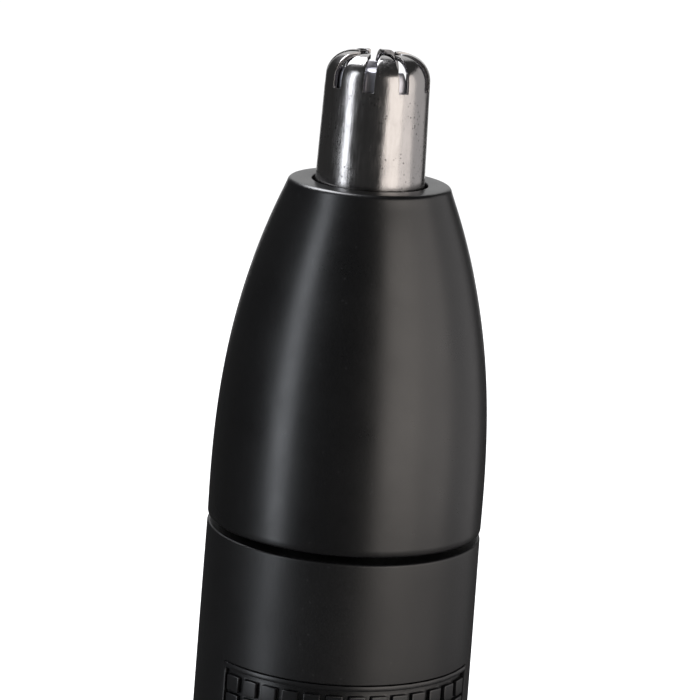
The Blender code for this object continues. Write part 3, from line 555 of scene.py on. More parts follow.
def makeBodyShell():
    low, high = barrel["recessLow"], barrel["recessHigh"]
    heights = stations(bodyLow, low, 6)[1:] + stations(low, high, 34)[1:] + stations(high, bodyHigh, 6)[1:-1]
    points = [(barrelRadius(bodyLow), bodyLow, 0.25)]
    points += [(barrelRadius(height), height) for height in heights]
    points += [(barrelRadius(bodyHigh), bodyHigh, barrel["rimRound"]), (barrel["bore"], bodyHigh, 0.15)]
    points += [(barrel["bore"], barrel["socketTop"], 0.1), (barrel["socketBore"], barrel["socketTop"], 0.1)]
    points += [(barrel["socketBore"], bodyLow, 0.2)]
    piece = turnPiece("bodyShell", points, 120, barrel["seam"])
    shrink = 1.0 - barrel["recess"] / barrel["widest"]

    def inRecess(face):
        out = math.hypot(face.center.x, face.center.y) > barrel["bore"] * 1.08 * mm
        return out and abs(facing(face.center)) < barrel["halfArc"] and low * mm < face.center.z < high * mm

    pick(piece, "polygons", inRecess)
    bpy.ops.mesh.extrude_region_move()
    bpy.ops.transform.resize(value=(shrink, shrink, 1.0), center_override=(0, 0, 0))
    leaveMesh()
    roundEdges(piece, 0.09, 2, 60.0, lambda middle: math.hypot(middle.x, middle.y) > barrel["lip"] * mm)
    channelTop = span("battery_cap")[1] - bayonet["socketBelowCap"]
    ring = ringOutline(bayonet["socketInner"], bayonet["socketOuter"], bodyLow - 1.0, channelTop)
    threeSectors(piece, "channel", ring, *bayonet["channel"], 24)
    carve(piece, frontBlock("window", *window.values(), 6.0, 16.0))
    finishPiece(piece, "handle", "body_shell", bodyPlastic)


grip = {"columns": 13, "rows": 36, "pitch": 9.2, "padTop": 85.45, "padFoot": 25.0, "sideFrame": 0.35,
        "topGroove": 0.35, "topFrame": 0.5, "grooveWidth": 0.27, "grooveHeight": 0.1, "relief": 0.4,
        "base": 0.33, "padRound": 0.13, "proud": 0.1}
track = {"width": 12.8, "height": 20.4, "corner": 3.0, "middle": 55.0, "bezel": 0.85, "gap": 0.1,
         "rail": (0.8, 17.0, 0.38), "railAside": 3.4}


def makeGripPanel():
    columns, rows = grip["columns"], grip["rows"]
    cell = math.radians(grip["pitch"]) * barrel["widest"]
    rise = (grip["padTop"] - grip["padFoot"]) / rows
    middle = (grip["padTop"] + grip["padFoot"]) / 2.0
    deselectAll()
    bpy.ops.mesh.primitive_grid_add(x_subdivisions=columns + 2, y_subdivisions=rows + 4, size=mm,
                                    rotation=(math.pi / 2.0, 0.0, 0.0))
    piece = nameNew("gripPads")
    bpy.ops.object.transform_apply(location=True, rotation=True, scale=True)
    pick(piece, "vertices", lambda vertex: True)
    bpy.ops.transform.resize(value=((columns + 2) * cell, 1.0, (rows + 4) * rise), center_override=(0, 0, 0))
    bpy.ops.transform.translate(value=(0.0, 0.0, middle * mm))
    halfWidth = columns / 2.0 * cell
    for up, edge in ((1, grip["padTop"]), (-1, grip["padFoot"])):
        for step, reach in ((1, grip["topGroove"]), (2, grip["topGroove"] + grip["topFrame"])):
            line = edge + up * step * rise
            pick(piece, "vertices", lambda vertex: abs(vertex.co.z / mm - line) < 0.1 * rise)
            bpy.ops.transform.translate(value=(0.0, 0.0, up * (reach - step * rise) * mm))
    for side in (-1, 1):
        pick(piece, "vertices", lambda vertex: side * vertex.co.x / mm > halfWidth + 0.5 * cell)
        bpy.ops.transform.translate(value=(side * (grip["sideFrame"] - cell) * mm, 0.0, 0.0))

    corner = track["corner"] + track["bezel"]
    straight = (track["width"] / 2.0 - track["corner"], track["height"] / 2.0 - track["corner"])

    def inTrack(point, spare):  # within the bezel's rounded outline and a little more
        across = abs(point.x / mm) - straight[0]
        upward = abs(point.z / mm - track["middle"]) - straight[1]
        if across < 0.0 or upward < 0.0:
            return max(across, upward) < corner + spare
        return math.hypot(across, upward) < corner + spare

    def corners(face):
        return [piece.data.vertices[index].co for index in face.vertices]

    leaveMesh()
    pick(piece, "polygons", lambda face: all(inTrack(point, -0.3) for point in corners(face)))
    bpy.ops.mesh.delete(type="FACE")
    leaveMesh()
    applyModifier(piece, "SOLIDIFY", thickness=grip["base"] * mm, offset=-1.0)
    fieldLow, fieldHigh = grip["padFoot"], grip["padTop"]

    def isFrame(face):
        centre = face.center / mm
        inside = abs(centre.x) < halfWidth and (
            fieldLow - grip["topGroove"] < centre.z < fieldHigh + grip["topGroove"])
        return face.normal.y < -0.5 and not inside

    def isPad(face):
        centre = face.center / mm
        inside = abs(centre.x) < halfWidth and fieldLow < centre.z < fieldHigh
        return face.normal.y < -0.5 and inside and not any(inTrack(point, 0.12) for point in corners(face))

    raised = {"value": (0.0, -grip["relief"] * mm, 0.0)}
    pick(piece, "polygons", isFrame)
    bpy.ops.mesh.extrude_region_move(TRANSFORM_OT_translate=raised)
    pick(piece, "polygons", isPad)
    leaveMesh()
    tall = grip["grooveWidth"] / grip["grooveHeight"]  # upright stretch, so that one inset gives both grooves
    moveVertices(piece, lambda point: Vector((point.x, point.y, point.z * tall)))
    enterMesh()
    bpy.ops.mesh.inset(thickness=grip["grooveWidth"] * mm, use_individual=True)
    bpy.ops.mesh.extrude_region_move(TRANSFORM_OT_translate=raised)
    leaveMesh()
    moveVertices(piece, lambda point: Vector((point.x, point.y, point.z / tall)))
    roundEdges(piece, grip["padRound"], 2, 40.0, lambda middle: middle.y < -0.05 * mm)

    gap, rim = track["gap"], track["bezel"]
    size = (track["width"], track["height"], track["corner"])
    bezel = frontBlock("bezel", *[value + 2.0 * (gap + rim) for value in size[:2]], size[2] + gap + rim,
                       track["middle"], 0.03 - grip["base"], grip["relief"])
    carve(bezel, frontBlock("opening", *[value + 2.0 * gap for value in size[:2]], size[2] + gap,
                            track["middle"], -2.0, 2.0))
    roundEdges(bezel, grip["padRound"], 2, 40.0, lambda middle: middle.y < -0.99 * grip["relief"] * mm)
    sliceUpright(bezel, size[0] / 2.0 + gap + rim)
    joinPieces(piece, [bezel])
    wrapOnBarrel(piece, grip["proud"] - grip["relief"])
    finishPiece(piece, "handle", "grip_panel", gripPlastic)


thumb = {"width": 9.4, "length": 13.0, "corner": 2.2, "height": 53.0, "proud": 1.5, "ridge": 0.36,
         "ridges": 5, "ridgePitch": 1.75, "ridgeSize": (6.2, 0.85, 0.4), "stem": (3.8, 6.0, 0.6),
         "stemHole": (4.0, 6.2, 0.7)}


def makeSwitch():
    plate = frontBlock("switchPlate", track["width"], track["height"], track["corner"], track["middle"],
                       -0.65, -0.45)
    for side in (-1, 1):  # raised rails that the button slides on
        rail = frontBlock("rail", *track["rail"], track["middle"], -0.55, -0.25, 0.1)
        joinPieces(plate, [offAxis(rail, side * track["railAside"])])
    carve(plate, frontBlock("slideWindow", *window.values(), -2.0, 2.0))
    sliceUpright(plate, track["width"] / 2.0)
    wrapOnBarrel(plate, 0.0)
    finishPiece(plate, "handle", "switch_plate", bodyPlastic)

    top = thumb["proud"] - thumb["ridge"]
    button = frontBlock("thumbButton", thumb["width"], thumb["length"], thumb["corner"], thumb["height"],
                        -0.15, top, 0.5)
    for index in range(thumb["ridges"]):
        height = thumb["height"] + (index - (thumb["ridges"] - 1) / 2.0) * thumb["ridgePitch"]
        ridge = frontBlock("ridge", *thumb["ridgeSize"], height, top - 0.2, thumb["proud"], 0.2)
        joinPieces(button, [ridge])
    sliceUpright(button, thumb["width"] / 2.0)
    wrapOnBarrel(button, 0.0)
    joinPieces(button, [frontBlock("stem", *thumb["stem"], thumb["height"], 8.6, 12.8)])
    finishPiece(button, "switch", "switch_button", coverPlastic)


makeBodyShell()
makeGripPanel()
makeSwitch()
print("handle made")

# neck and drive

neck = {"radius": 9.0, "bore": 8.0, "flange": 10.0, "flangeTop": bodyHigh - 0.3, "groove": 8.55,
        "grooveLow": 97.98, "grooveHigh": 99.08, "lugInner": 8.5, "lugReach": 9.6, "lugLow": 101.05,
        "lugHigh": 102.55, "shaftHole": 1.6, "lipRadius": 4.0}
drive = {"radius": 1.5, "markAt": 9.0, "markDepth": 0.15, "collar": 3.4, "collarHeight": 1.2, "square": 2.3,
         "socketRoom": 0.2, "holderBoss": 2.3, "holderDisc": 1.4}


def makeNeck():
    low, high = span("neck_ring")
    deckLow, deckHigh = span("shaft_bush")
    bush = reachOf("shaft_bush")
    points = [(bush + 0.1, deckLow), (bush + 0.1, deckHigh, 0.1), (neck["bore"], deckHigh, 0.4)]
    points += [(neck["bore"], high, 0.15), (neck["radius"], high, 0.4)]
    points += [(neck["radius"], neck["grooveHigh"], 0.06), (neck["groove"], neck["grooveHigh"])]
    points += [(neck["groove"], neck["grooveLow"]), (neck["radius"], neck["grooveLow"], 0.06)]
    points += [(neck["radius"], neck["flangeTop"]), (neck["flange"], neck["flangeTop"], 0.12)]
    points += [(neck["flange"], low, 0.12), (neck["bore"], low, 0.1), (neck["bore"], deckLow, 0.3)]
    piece = turnPiece("neckCollar", points, 96)
    lug = (neck["lugInner"], neck["lugReach"], neck["lugLow"], neck["lugHigh"])
    ring = ringOutline(*lug, *bayonet["lugRounds"])
    threeSectors(piece, "lug", ring, *bayonet["lug"], 8, "UNION")
    finishPiece(piece, "handle", "neck_ring", bodyPlastic)

    hole, lip = neck["shaftHole"], neck["lipRadius"]
    points = [(hole, deckLow, 0.1), (hole, deckHigh, 0.1), (bush, deckHigh, 0.12), (bush, deckLow, 0.12)]
    finishPiece(turnPiece("shaftBearing", points, 64), "handle", "shaft_bush", warmBrass)
    low, high = span("shaft_seal")
    lips = [(hole, low, 0.08), (lip, low, 0.1), (lip, low + 0.6, 0.2), (hole + 0.5, high, 0.2)]
    lips += [(hole, high, 0.1)]
    finishPiece(turnPiece("shaftLip", lips, 64), "handle", "shaft_seal", sealRubber)


def makeRing(name, node, body, wire):
    low, high = span(node)
    reach = reachOf(node)
    ring = arcOutline((reach - wire, (low + high) / 2.0), wire, 0.0, 330.0, 11)
    finishPiece(turnPiece(name, ring, 96), body, node, sealRubber)


def makeCoil(name, node, body, material, foot, top, wire, turns):
    low, high = span(node)
    curve = bpy.data.curves.new(name, "CURVE")
    curve.dimensions = "3D"
    curve.bevel_depth = wire * mm
    curve.bevel_resolution = 3
    curve.use_fill_caps = True
    count = round(turns * 24)
    flat = 0.7 / turns  # share of the wire that lies flat at each end
    creep = 0.06  # how much the flat turns still climb
    spline = curve.splines.new("POLY")
    spline.points.add(count)
    for index in range(count + 1):
        share = index / count
        climb = min(1.0, max(0.0, (share - flat) / (1.0 - 2.0 * flat)))
        climb += creep * (share - climb)
        radius = foot + (top - foot) * share
        turn = math.tau * turns * share
        height = low + wire + (high - low - 2.0 * wire) * climb
        across, back = radius * math.cos(turn), radius * math.sin(turn)
        spline.points[index].co = (across * mm, back * mm, height * mm, 1.0)
    coil = bpy.data.objects.new(name, curve)
    bpy.context.scene.collection.objects.link(coil)
    takeUp(coil)
    bpy.ops.object.convert(target="MESH")
    piece = bpy.context.object
    cleanUp(piece)
    finishPiece(piece, body, node, material, 50.0)


def makeDrive():
    low, high = span("drive_shaft")
    collarHigh = span("blade_holder")[0] - 0.3
    collarLow = collarHigh - drive["collarHeight"]
    thin, wide, mark = drive["radius"], drive["collar"], low + drive["markAt"]
    cut = thin - drive["markDepth"]
    points = [(0.0, low), (thin, low, 0.2), (thin, mark, 0.05), (cut, mark + 0.1, 0.05)]
    points += [(cut, mark + 0.6, 0.05), (thin, mark + 0.7, 0.05), (thin, collarLow, 0.25)]
    points += [(wide, collarLow, 0.15), (wide, collarHigh, 0.15), (0.0, collarHigh)]
    shaft = turnPiece("driveSpindle", points, 64)
    half = drive["square"] / 2.0
    carve(shaft, plainBlock("squareEnd", (-half, -half, collarHigh - 0.5), (half, half, high), 0.15), "UNION")
    finishPiece(shaft, "rotor", "drive_shaft", cutterSteel)

    low, high = span("blade_holder")
    disc = reachOf("blade_holder")
    boss, discLow = drive["holderBoss"], high - drive["holderDisc"]
    points = [(0.0, low), (boss, low, 0.15), (boss, discLow, 0.3), (disc, discLow, 0.2), (disc, high, 0.2)]
    holder = turnPiece("cutterHolder", points + [(0.0, high)], 64)
    half = (drive["square"] + drive["socketRoom"]) / 2.0
    socketTop = span("drive_shaft")[1] + 0.3
    carve(holder, plainBlock("socket", (-half, -half, low - 1.0), (half, half, socketTop)))
    finishPiece(holder, "rotor", "blade_holder", whiteAcetal)
    makeCoil("holderSpring", "blade_spring", "rotor", headSteel, 2.75, 2.75, 0.25, 5.0)


makeNeck()
makeRing("neckORing", "neck_seal", "head_ring", 0.42)
makeDrive()
print("neck and drive made")

# cutting head

cover = {"rimRadius": 12.25, "swell": 0.247, "topRadius": 7.03, "power": 2.507, "wall": 1.3, "topWall": 1.4,
         "corner": 0.5, "hole": 5.105, "lip": 0.2}
blade = {"slots": 9, "firstSlot": 100.0, "slotWidth": 0.95, "slotDepth": 2.95, "footRadius": 4.805,
         "taper": 0.0252, "wall": 0.4, "shoulder": 2.3, "crownHole": 1.8, "flange": 1.05, "flangeHeight": 0.7,
         "edge": 0.07}
trimmerTop = span("outer_blade")[1]


def coverRadius(height):
    share = (height - coverLow) / (coverHigh - coverLow)
    drop = cover["rimRadius"] + cover["swell"] - cover["topRadius"]
    return cover["rimRadius"] + cover["swell"] * share - drop * share ** cover["power"]


def bladeRadius(height):
    return blade["footRadius"] - blade["taper"] * (height - coverHigh)


def makeCover():
    cornerLow = coverHigh - cover["corner"]
    points = [(coverRadius(coverLow), coverLow, cover["lip"])]
    points += [(coverRadius(height), height) for height in stations(coverLow, cornerLow, 44)[1:-1]]
    centre = (coverRadius(cornerLow) - cover["corner"], cornerLow)
    points += arcOutline(centre, cover["corner"], 8.0, 90.0, 6)
    ceiling = coverHigh - cover["topWall"]
    points += [(cover["hole"], coverHigh, 0.12), (cover["hole"], ceiling)]
    points += [(coverRadius(height) - cover["wall"], height) for height in stations(ceiling, coverLow, 20)]
    finishPiece(turnPiece("coverShell", points, 160), "head", "head_cover", coverPlastic)

    low, high = span("cover_insert")
    inner = neck["radius"] + bayonet["room"]
    ring = ringOutline(inner, reachOf("cover_insert"), low, high, *bayonet["lugRounds"])
    piece = turnPiece("bayonetRing", ring, 96)
    ring = ringOutline(inner - 0.5, neck["lugReach"] + bayonet["room"], low - 1.0, high + 1.0)
    threeSectors(piece, "channel", ring, *bayonet["channel"], 24)
    finishPiece(piece, "head", "cover_insert", greyPlastic)

    low, high = span("blade_seat")
    inner, outer = bladeRadius(high) - blade["wall"], reachOf("blade_seat")
    ring = [(inner, low, 0.2), (outer, low, 0.2), (outer, high, 0.2), (inner, high, 0.15)]
    finishPiece(turnPiece("bladeSeatRing", ring, 72), "head", "blade_seat", greyPlastic)


def slottedTurn(name, points, count, first, width, base, isRim):  # slots open above base and run to the rim
    widest = max(point[0] for point in points if point[1] > base)
    half = math.degrees(math.asin(width / 2.0 / widest))
    pitch = 360.0 / count
    piece = drawOutline(name, softCorners(points))
    turnOutline(90.0 - first - half)
    for _ in range(count):
        spinOutline(2.0 * half, 4)
        spinOutline(pitch - 2.0 * half, max(8, round((pitch - 2.0 * half) / 3.2)))
    cleanUp(piece)

    def fromSlot(point):  # degrees from the middle of the nearest slot
        return (facing(point) - first + pitch / 2.0) % pitch - pitch / 2.0

    def goes(face):
        return face.center.z > base * mm and (isRim(face) or abs(fromSlot(face.center)) < half) and (
            math.hypot(face.center.x, face.center.y) > blade["crownHole"] * 0.8 * mm)

    pick(piece, "polygons", goes)
    bpy.ops.mesh.delete(type="FACE")
    leaveMesh()

    def squared(point):  # keeps a slot's two sides parallel where the piece draws in
        radius = math.hypot(point.x, point.y)
        if point.z < (base - 0.01) * mm or radius < 0.8 * blade["crownHole"] * mm:
            return point
        turn = fromSlot(point)
        wide = math.degrees(math.asin(min(1.0, width / 2.0 * mm / radius)))
        if abs(turn) <= half:
            moved = turn * wide / half
        else:
            share = (abs(turn) - half) / (pitch / 2.0 - half)
            moved = math.copysign(wide + share * (pitch / 2.0 - wide), turn)
        aim = math.radians(facing(point) + moved - turn)
        return Vector((radius * math.sin(aim), -radius * math.cos(aim), point.z))

    moveVertices(piece, squared)
    used = {}
    for face in piece.data.polygons:
        for key in face.edge_keys:
            used[key] = used.get(key, 0) + 1
    pick(piece, "edges", lambda edge: used.get(edge.key, 0) == 1)
    bpy.ops.mesh.bridge_edge_loops()
    cleanUp(piece)
    return piece


def makeBlades():
    wall, shoulder = blade["wall"], blade["shoulder"]
    slotLow = trimmerTop - blade["slotDepth"]
    shoulderLow = trimmerTop - shoulder
    low = span("outer_blade")[0]
    flangeHigh = low + blade["flangeHeight"]
    flange = bladeRadius(flangeHigh) + blade["flange"]
    centre = (bladeRadius(shoulderLow) - shoulder, shoulderLow)
    sides = [slotLow] + stations(slotLow, shoulderLow, 3)[1:-1]
    heights = stations(flangeHigh + 0.2, slotLow, 8)[1:-1] + sides
    outside = [(bladeRadius(height), height) for height in heights]
    outside += arcOutline(centre, shoulder, 0.0, 90.0, 14) + [(blade["crownHole"], trimmerTop)]
    inside = [(bladeRadius(height) - wall, height) for height in [low] + sides]
    inside += arcOutline(centre, shoulder - wall, 0.0, 90.0, 14) + [(blade["crownHole"], trimmerTop - wall)]
    points = [(flange, low, 0.1), (flange, flangeHigh, 0.1), (bladeRadius(flangeHigh), flangeHigh, 0.1)]
    points += outside + inside[::-1]

    def crownWall(face):
        out = math.hypot(face.center.x, face.center.y)
        return abs(face.normal.z) < 0.2 and out < 1.05 * blade["crownHole"] * mm

    piece = slottedTurn("bladeTube", points, blade["slots"], blade["firstSlot"], blade["slotWidth"], slotLow,
                        crownWall)
    roundEdges(piece, blade["edge"], 2, 50.0, lambda middle: middle.z > (slotLow - 0.1) * mm)
    finishPiece(piece, "head", "outer_blade", headSteel, 40.0)


cutter = {"gaps": 4, "firstGap": 45.0, "gapWidth": 2.4, "wall": 0.6, "runGap": 0.12, "floor": 0.9,
          "gapFloor": 1.3, "post": 1.2, "postTop": 138.55, "postRound": 0.45, "edge": 0.35, "bevel": 1.2}


def makeCutter():
    low, high = span("inner_blade")
    rim = bladeRadius(trimmerTop)
    reach = rim - blade["wall"] - cutter["runGap"]
    centre = (rim - blade["shoulder"], trimmerTop - blade["shoulder"])
    curve = blade["shoulder"] - blade["wall"] - cutter["runGap"]
    lean = math.degrees(math.asin((high - centre[1]) / curve))
    floor, base = low + cutter["floor"], low + cutter["gapFloor"]
    crown = arcOutline(centre, curve, 0.0, lean, 4)
    tip = crown[-1][0] - cutter["edge"]
    inside, bevelLow = reach - cutter["wall"], centre[1] - cutter["bevel"]
    sides = stations(base, centre[1], 3)[:-1]
    points = [(0.0, low), (reach, low, 0.15)] + [(reach, height) for height in sides] + crown
    points += [(tip, high)]
    for step in (1, 2, 3):
        share = step / 4.0
        points += [(tip + (inside - tip) * share, high + (bevelLow - high) * share)]
    points += [(inside, bevelLow)] + [(inside, height) for height in sides[::-1]]
    points += [(inside, floor, 0.15), (cutter["post"], floor, 0.2)]
    points += [(cutter["post"], cutter["postTop"], cutter["postRound"]), (0.0, cutter["postTop"])]

    def topEdge(face):
        return face.center.z > (high - 0.01) * mm and face.normal.z > 0.9

    piece = slottedTurn("cutterCup", points, cutter["gaps"], cutter["firstGap"], cutter["gapWidth"], base,
                        topEdge)
    roundEdges(piece, 0.05, 2, 50.0, lambda middle: middle.z > (base - 0.1) * mm)
    finishPiece(piece, "rotor", "inner_blade", cutterSteel, 40.0)


makeCover()
makeBlades()
makeCutter()
print("cutting head made")

# battery cap, cell and contacts

cap = {"joint": bodyLow - 0.3, "corner": 1.2, "floor": 2.0, "foot": 8.0, "cavity": 8.0, "spigot": 9.45,
       "grooveFloor": 9.05, "grooveLow": 13.6, "grooveHigh": 14.5, "lugReach": 10.05, "lugLow": 17.0,
       "lugHigh": 18.5}


def makeCap():
    high = span("battery_cap")[1]
    joint, spigot, floor = cap["joint"], cap["spigot"], cap["floor"]
    points = [(0.0, 0.5), (cap["foot"] - 0.4, 0.5, 0.2), (cap["foot"], 0.0, 0.2)]
    points += [(barrelRadius(0.0), 0.0, cap["corner"])]
    points += [(barrelRadius(height), height) for height in stations(1.6, joint, 8)[:-1]]
    points += [(barrelRadius(joint), joint, 0.25), (spigot, joint, 0.1)]
    points += [(spigot, cap["grooveLow"], 0.06), (cap["grooveFloor"], cap["grooveLow"])]
    points += [(cap["grooveFloor"], cap["grooveHigh"]), (spigot, cap["grooveHigh"], 0.06)]
    points += [(spigot, high, 0.25), (cap["cavity"], high, 0.2), (cap["cavity"], floor, 0.4), (0.0, floor)]
    piece = turnPiece("batteryCap", points, 120)
    ring = ringOutline(spigot - 0.5, cap["lugReach"], cap["lugLow"], cap["lugHigh"], *bayonet["lugRounds"])
    threeSectors(piece, "lug", ring, *bayonet["lug"], 8, "UNION")
    finishPiece(piece, "cap", "battery_cap", bodyPlastic)


def cellWrap():
    colour, band, stripe = (0.028, 0.085, 0.12), (0.42, 0.2, 0.06), (0.62, 0.62, 0.6)
    material, tree, shader = newMaterial("cellWrap", colour, 0.3)
    place = tree.nodes.new("ShaderNodeTexCoord")
    parts = tree.nodes.new("ShaderNodeSeparateXYZ")
    tree.links.new(place.outputs["Object"], parts.inputs["Vector"])
    height = parts.outputs["Z"]
    wear = noiseOf(tree, objectSpace(tree, (1.0, 1.0, 0.6)), 420.0, 5.0, 0.65)
    edge = sumOf(tree, height, ramp(tree, wear, 0.0, 1.0, -0.00002, 0.00002))
    soft = 0.04 * mm  # how sharp the printed borders are

    def above(height):
        return ramp(tree, edge, height * mm, height * mm + soft, 0.0, 1.0)

    banded = blendColour(tree, above(45.8), colour, band)
    under = ramp(tree, edge, 45.4 * mm, 45.4 * mm + soft, 1.0, 0.0)
    line = sumOf(tree, above(44.8), under, "MULTIPLY")
    printed = blendColour(tree, line, banded, stripe)
    worn = blendColour(tree, ramp(tree, wear, 0.45, 0.75, 0.0, 0.35), printed, (0.012, 0.03, 0.04))
    feed(tree, shader, Base_Color=worn, Roughness=ramp(tree, wear, 0.3, 0.7, 0.24, 0.4))
    wave = bumpOf(tree, shader, wear, 0.01)
    bumpOf(tree, shader, noiseOf(tree, objectSpace(tree), 5200.0, 2.0), 0.001, wave)
    return material


def makeCell():
    low, high = span("battery_cell")
    reach = reachOf("battery_cell")
    shoulder = high - 1.3
    nub = 2.75
    can = [(0.0, low + 0.15), (4.2, low + 0.15, 0.1), (4.5, low, 0.1), (reach - 0.9, low, 0.3)]
    can += [(reach - 0.15, low + 0.5, 0.2), (reach - 0.15, shoulder - 0.5, 0.3), (reach - 1.1, shoulder, 0.2)]
    can += [(nub + 0.5, shoulder, 0.1), (nub + 0.3, shoulder - 0.2, 0.1), (nub, shoulder - 0.1, 0.05)]
    can += [(nub, high, 0.35), (0.0, high)]
    finishPiece(turnPiece("cellCan", can, 72), "cell", "battery_cell", zincPlate)
    inner = reach - 0.12
    wrap = [(inner, low + 0.75), (reach, low + 0.8, 0.05)]
    wrap += [(reach, height) for height in stations(low + 1.5, shoulder - 1.5, 5)]
    wrap += [(reach, shoulder - 0.4, 0.2), (reach - 0.7, shoulder + 0.02, 0.1), (inner - 0.8, shoulder - 0.2)]
    wrap += [(inner, shoulder - 0.9)]
    finishPiece(turnPiece("cellLabel", wrap, 72), "cell", "battery_cell", cellWrap())


def makeContacts():
    makeRing("capORing", "cap_seal", "cap", 0.27)
    makeCoil("contactCoil", "contact_spring", "cap", zincPlate, 5.05, 2.75, 0.35, 4.0)
    low, high = span("positive_contact")
    reach = reachOf("positive_contact")
    dish = 1.6
    points = [(0.0, low + 0.1), (dish, low + 0.1, 0.1), (dish + 0.3, low, 0.1), (reach, low, 0.1)]
    points += [(reach, high, 0.1), (dish + 0.3, high, 0.1), (dish, high - 0.1, 0.1), (0.0, high - 0.1)]
    finishPiece(turnPiece("plusPlate", points, 64), "handle", "positive_contact", zincPlate)
    low, high = span("negative_strip")
    piece = turnSector("minusStrip", ringOutline(8.45, 8.85, low, high), 56.0, 68.0, 6)
    roundEdges(piece, 0.1, 2, 60.0)
    finishPiece(piece, "handle", "negative_strip", warmBrass)


makeCap()
makeCell()
makeContacts()
print("cap and cell made")

# motor, frame and switch works

motor = {"flat": 7.6, "boss": 2.9, "bossHeight": 1.2, "bore": 0.85, "sunk": 6.3, "shaft": 0.75,
         "screwCircle": 5.7, "screwHole": 0.8, "screwSunk": 2.3, "tabRoom": 0.25, "tabEye": 0.5}
frameWindows = {"width": 7.5, "corner": 1.5, "places": ((31.0, 11.0), (45.5, 11.0), (69.5, 8.0), (79.5, 6.0))}
screw = {"core": 0.58, "thread": 0.7, "pitch": 0.35, "turns": 10, "head": 1.4, "headHeight": 1.0, "pad": 1.5,
         "cross": ((0.9, 0.14), (0.14, 0.9))}


def makeMotor():
    low, bossTop = span("motor_can")
    reach = reachOf("motor_can")
    top = bossTop - motor["bossHeight"]
    points = [(0.0, low), (reach - 0.3, low, 0.1), (reach - 0.3, low + 1.0, 0.1), (reach, low + 1.2, 0.15)]
    points += [(reach, top, 0.8), (motor["boss"], top, 0.15), (motor["boss"], bossTop, 0.2)]
    points += [(motor["bore"], bossTop), (motor["bore"], top - motor["sunk"]), (0.0, top - motor["sunk"])]
    can = turnPiece("motorCan", points, 96)
    for side in (-1, 1):
        near, far = sorted((side * motor["flat"], side * 12.0))
        carve(can, plainBlock("flat", (-12.0, near, low - 1.0), (12.0, far, bossTop + 1.0)))
        drill(can, motor["screwHole"], top - motor["screwSunk"], top + 1.0, side * motor["screwCircle"])
    finishPiece(can, "handle", "motor_can", zincPlate)

    low, high = span("motor_end_cap")
    flat = motor["flat"]
    points = [(0.0, low + 0.4), (2.4, low + 0.4, 0.15), (2.6, low, 0.15), (flat - 0.5, low, 0.35)]
    points += [(flat, low + 0.5, 0.2), (flat, high, 0.1), (0.0, high)]
    endCap = turnPiece("motorEndCap", points, 72)
    for name, side in (("left", -1), ("right", 1)):
        node = "motor_terminal_" + name
        tabLow, tabHigh = [[value / mm for value in corner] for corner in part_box(node)]
        room = motor["tabRoom"]
        slotLow = [tabLow[0] - room, tabLow[1] - 1.0, tabLow[2] - room]
        carve(endCap, plainBlock("slot", slotLow, [value + room for value in tabHigh]))
        tab = plainBlock("motorTab" + name.title(), tabLow, tabHigh, 0.08)
        middle = (tabLow[0] + tabHigh[0]) / 2.0
        drill(tab, motor["tabEye"], tabLow[2] - 1.0, tabHigh[2] + 1.0, middle, tabLow[1] + 0.9, 16)
        finishPiece(tab, "handle", node, warmBrass)
    finishPiece(endCap, "handle", "motor_end_cap", whiteAcetal)

    low, high = span("motor_shaft")
    pin = motor["shaft"]
    points = [(0.0, low), (pin, low, 0.1), (pin, high, 0.15), (0.0, high)]
    finishPiece(turnPiece("motorShaft", points, 32), "rotor", "motor_shaft", cutterSteel)
    low, high = span("drive_coupling")
    reach = reachOf("drive_coupling")
    split, waist = span("motor_shaft")[1] + 0.15, reach - 0.35
    small, large = motor["bore"], neck["shaftHole"]
    points = [(small, low, 0.1), (reach, low, 0.25), (reach, low + 1.3, 0.15), (waist, low + 1.5, 0.1)]
    points += [(waist, high - 1.5, 0.1), (reach, high - 1.3, 0.15), (reach, high, 0.25), (large, high, 0.1)]
    points += [(large, split), (small, split)]
    piece = turnPiece("shaftCoupling", points, 48)
    finishPiece(piece, "rotor", "drive_coupling", whiteAcetal)


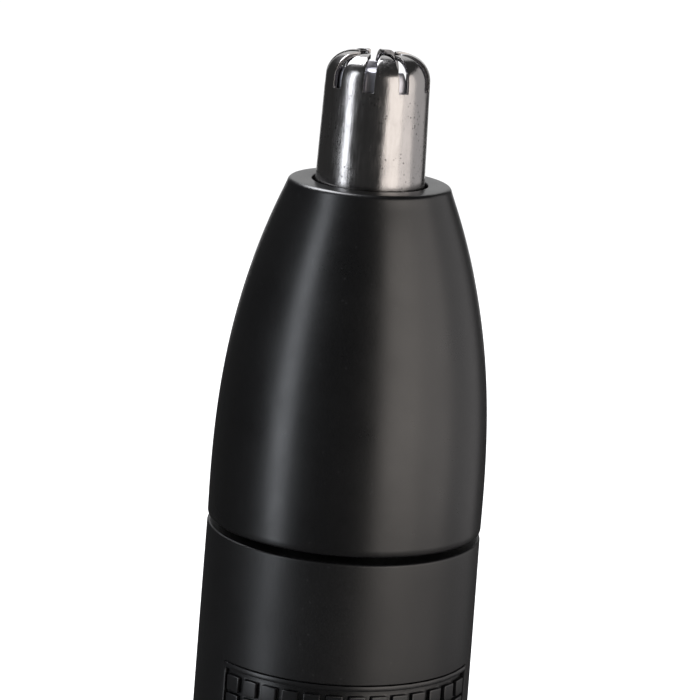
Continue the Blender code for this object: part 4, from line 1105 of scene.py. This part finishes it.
def makeMount():
    low, high = span("motor_mount")
    reach = reachOf("motor_mount")
    inner = motor["boss"] + 0.3
    dip = high - 0.5
    points = [(inner, low, 0.15), (reach, low, 0.15), (reach, high, 0.2), (8.6, high, 0.1), (8.4, dip, 0.2)]
    points += [(inner + 0.8, dip, 0.2), (inner + 0.6, high, 0.1), (inner, high, 0.15)]
    mount = turnPiece("motorMount", points, 90)
    for name, side in (("left", -1), ("right", 1)):
        aside = side * motor["screwCircle"]
        padLow, padHigh = high - 1.2, high - 0.1
        pad = [(0.0, padLow), (screw["pad"], padLow), (screw["pad"], padHigh, 0.12), (0.0, padHigh)]
        carve(mount, offAxis(turnPiece("pad", pad, 32), aside), "UNION")
        drill(mount, motor["screwHole"], low - 1.0, high + 1.0, aside, start=4.0)
        node = "motor_screw_" + name
        foot, crown = span(node)
        thread, headLow = screw["thread"], crown - screw["headHeight"]
        points = [(0.0, foot), (0.45, foot, 0.05), (thread, foot + 0.3, 0.05)]
        for turn in range(screw["turns"]):
            height = foot + 0.5 + turn * screw["pitch"]
            points += [(thread, height), (screw["core"], height + screw["pitch"] / 2.0)]
        points += [(thread, headLow - 0.2), (thread, headLow), (screw["head"], headLow, 0.1)]
        points += [(screw["head"], crown, 0.3), (0.0, crown)]
        piece = turnPiece("motorScrew" + name.title(), points, 32)
        for wide, deep in screw["cross"]:
            carve(piece, plainBlock("cross", (-wide, -deep, crown - 0.5), (wide, deep, crown + 1.0)))
        finishPiece(offAxis(piece, aside), "handle", node, zincPlate)
    finishPiece(mount, "handle", "motor_mount", greyPlastic)


def makeFrame():
    low, high = span("chassis_frame")
    bulkLow = span("positive_contact")[1] + 0.3
    seat = span("motor_end_cap")[0] - 0.3
    points = ringOutline(7.65, 10.0, low, high, 0.2, 0.2)[:3]
    points += [(8.9, high, 0.2), (8.9, seat), (7.65, seat)]
    chassis = turnSector("chassisFrame", points, 82.0, 278.0, 64)
    roundEdges(chassis, 0.15, 2, 70.0)
    bulkhead = [(0.0, bulkLow), (8.15, bulkLow, 0.2), (8.15, bulkLow + 1.6, 0.2), (0.0, bulkLow + 1.6)]
    carve(chassis, turnPiece("bulkhead", bulkhead, 72), "UNION")
    wide, corner = frameWindows["width"], frameWindows["corner"]
    for middle, tall in frameWindows["places"]:
        carve(chassis, frontBlock("frameWindow", wide, tall, corner, middle, -14.0, -5.0))
    finishPiece(chassis, "handle", "chassis_frame", greyPlastic)


def makeSwitchWorks():
    low, high = span("switch_carrier")
    carrier = turnSector("switchCarrier", ringOutline(8.2, 9.9, low, high), -28.0, 28.0, 24)
    roundEdges(carrier, 0.2, 2, 70.0)
    carve(carrier, frontBlock("stemHole", *thumb["stemHole"], thumb["height"], 6.0, 14.0))
    for height in (low + 1.3, low + 2.5):
        ring = ringOutline(9.65, 10.5, height - 0.25, height + 0.25)
        carve(carrier, turnSector("detent", ring, -22.0, 22.0, 18))
    finishPiece(carrier, "switch", "switch_carrier", whiteAcetal)
    leaves = (("switchLeaf", "switch_contact", "switch"), ("fixedLeaf", "switch_terminal", "handle"))
    for name, node, body in leaves:
        low, high = span(node)
        leaf = turnSector(name, ringOutline(8.9, 9.3, low, high), -12.0, 12.0, 10)
        roundEdges(leaf, 0.1, 2, 60.0)
        carve(leaf, frontBlock("leafSlit", 0.5, high - low - 2.0, 0.24, (low + high) / 2.0, 6.0, 12.0))
        finishPiece(leaf, body, node, warmBrass)


makeMotor()
makeMount()
makeFrame()
makeSwitchWorks()
print("works made")

bpy.ops.object.select_all(action="DESELECT")
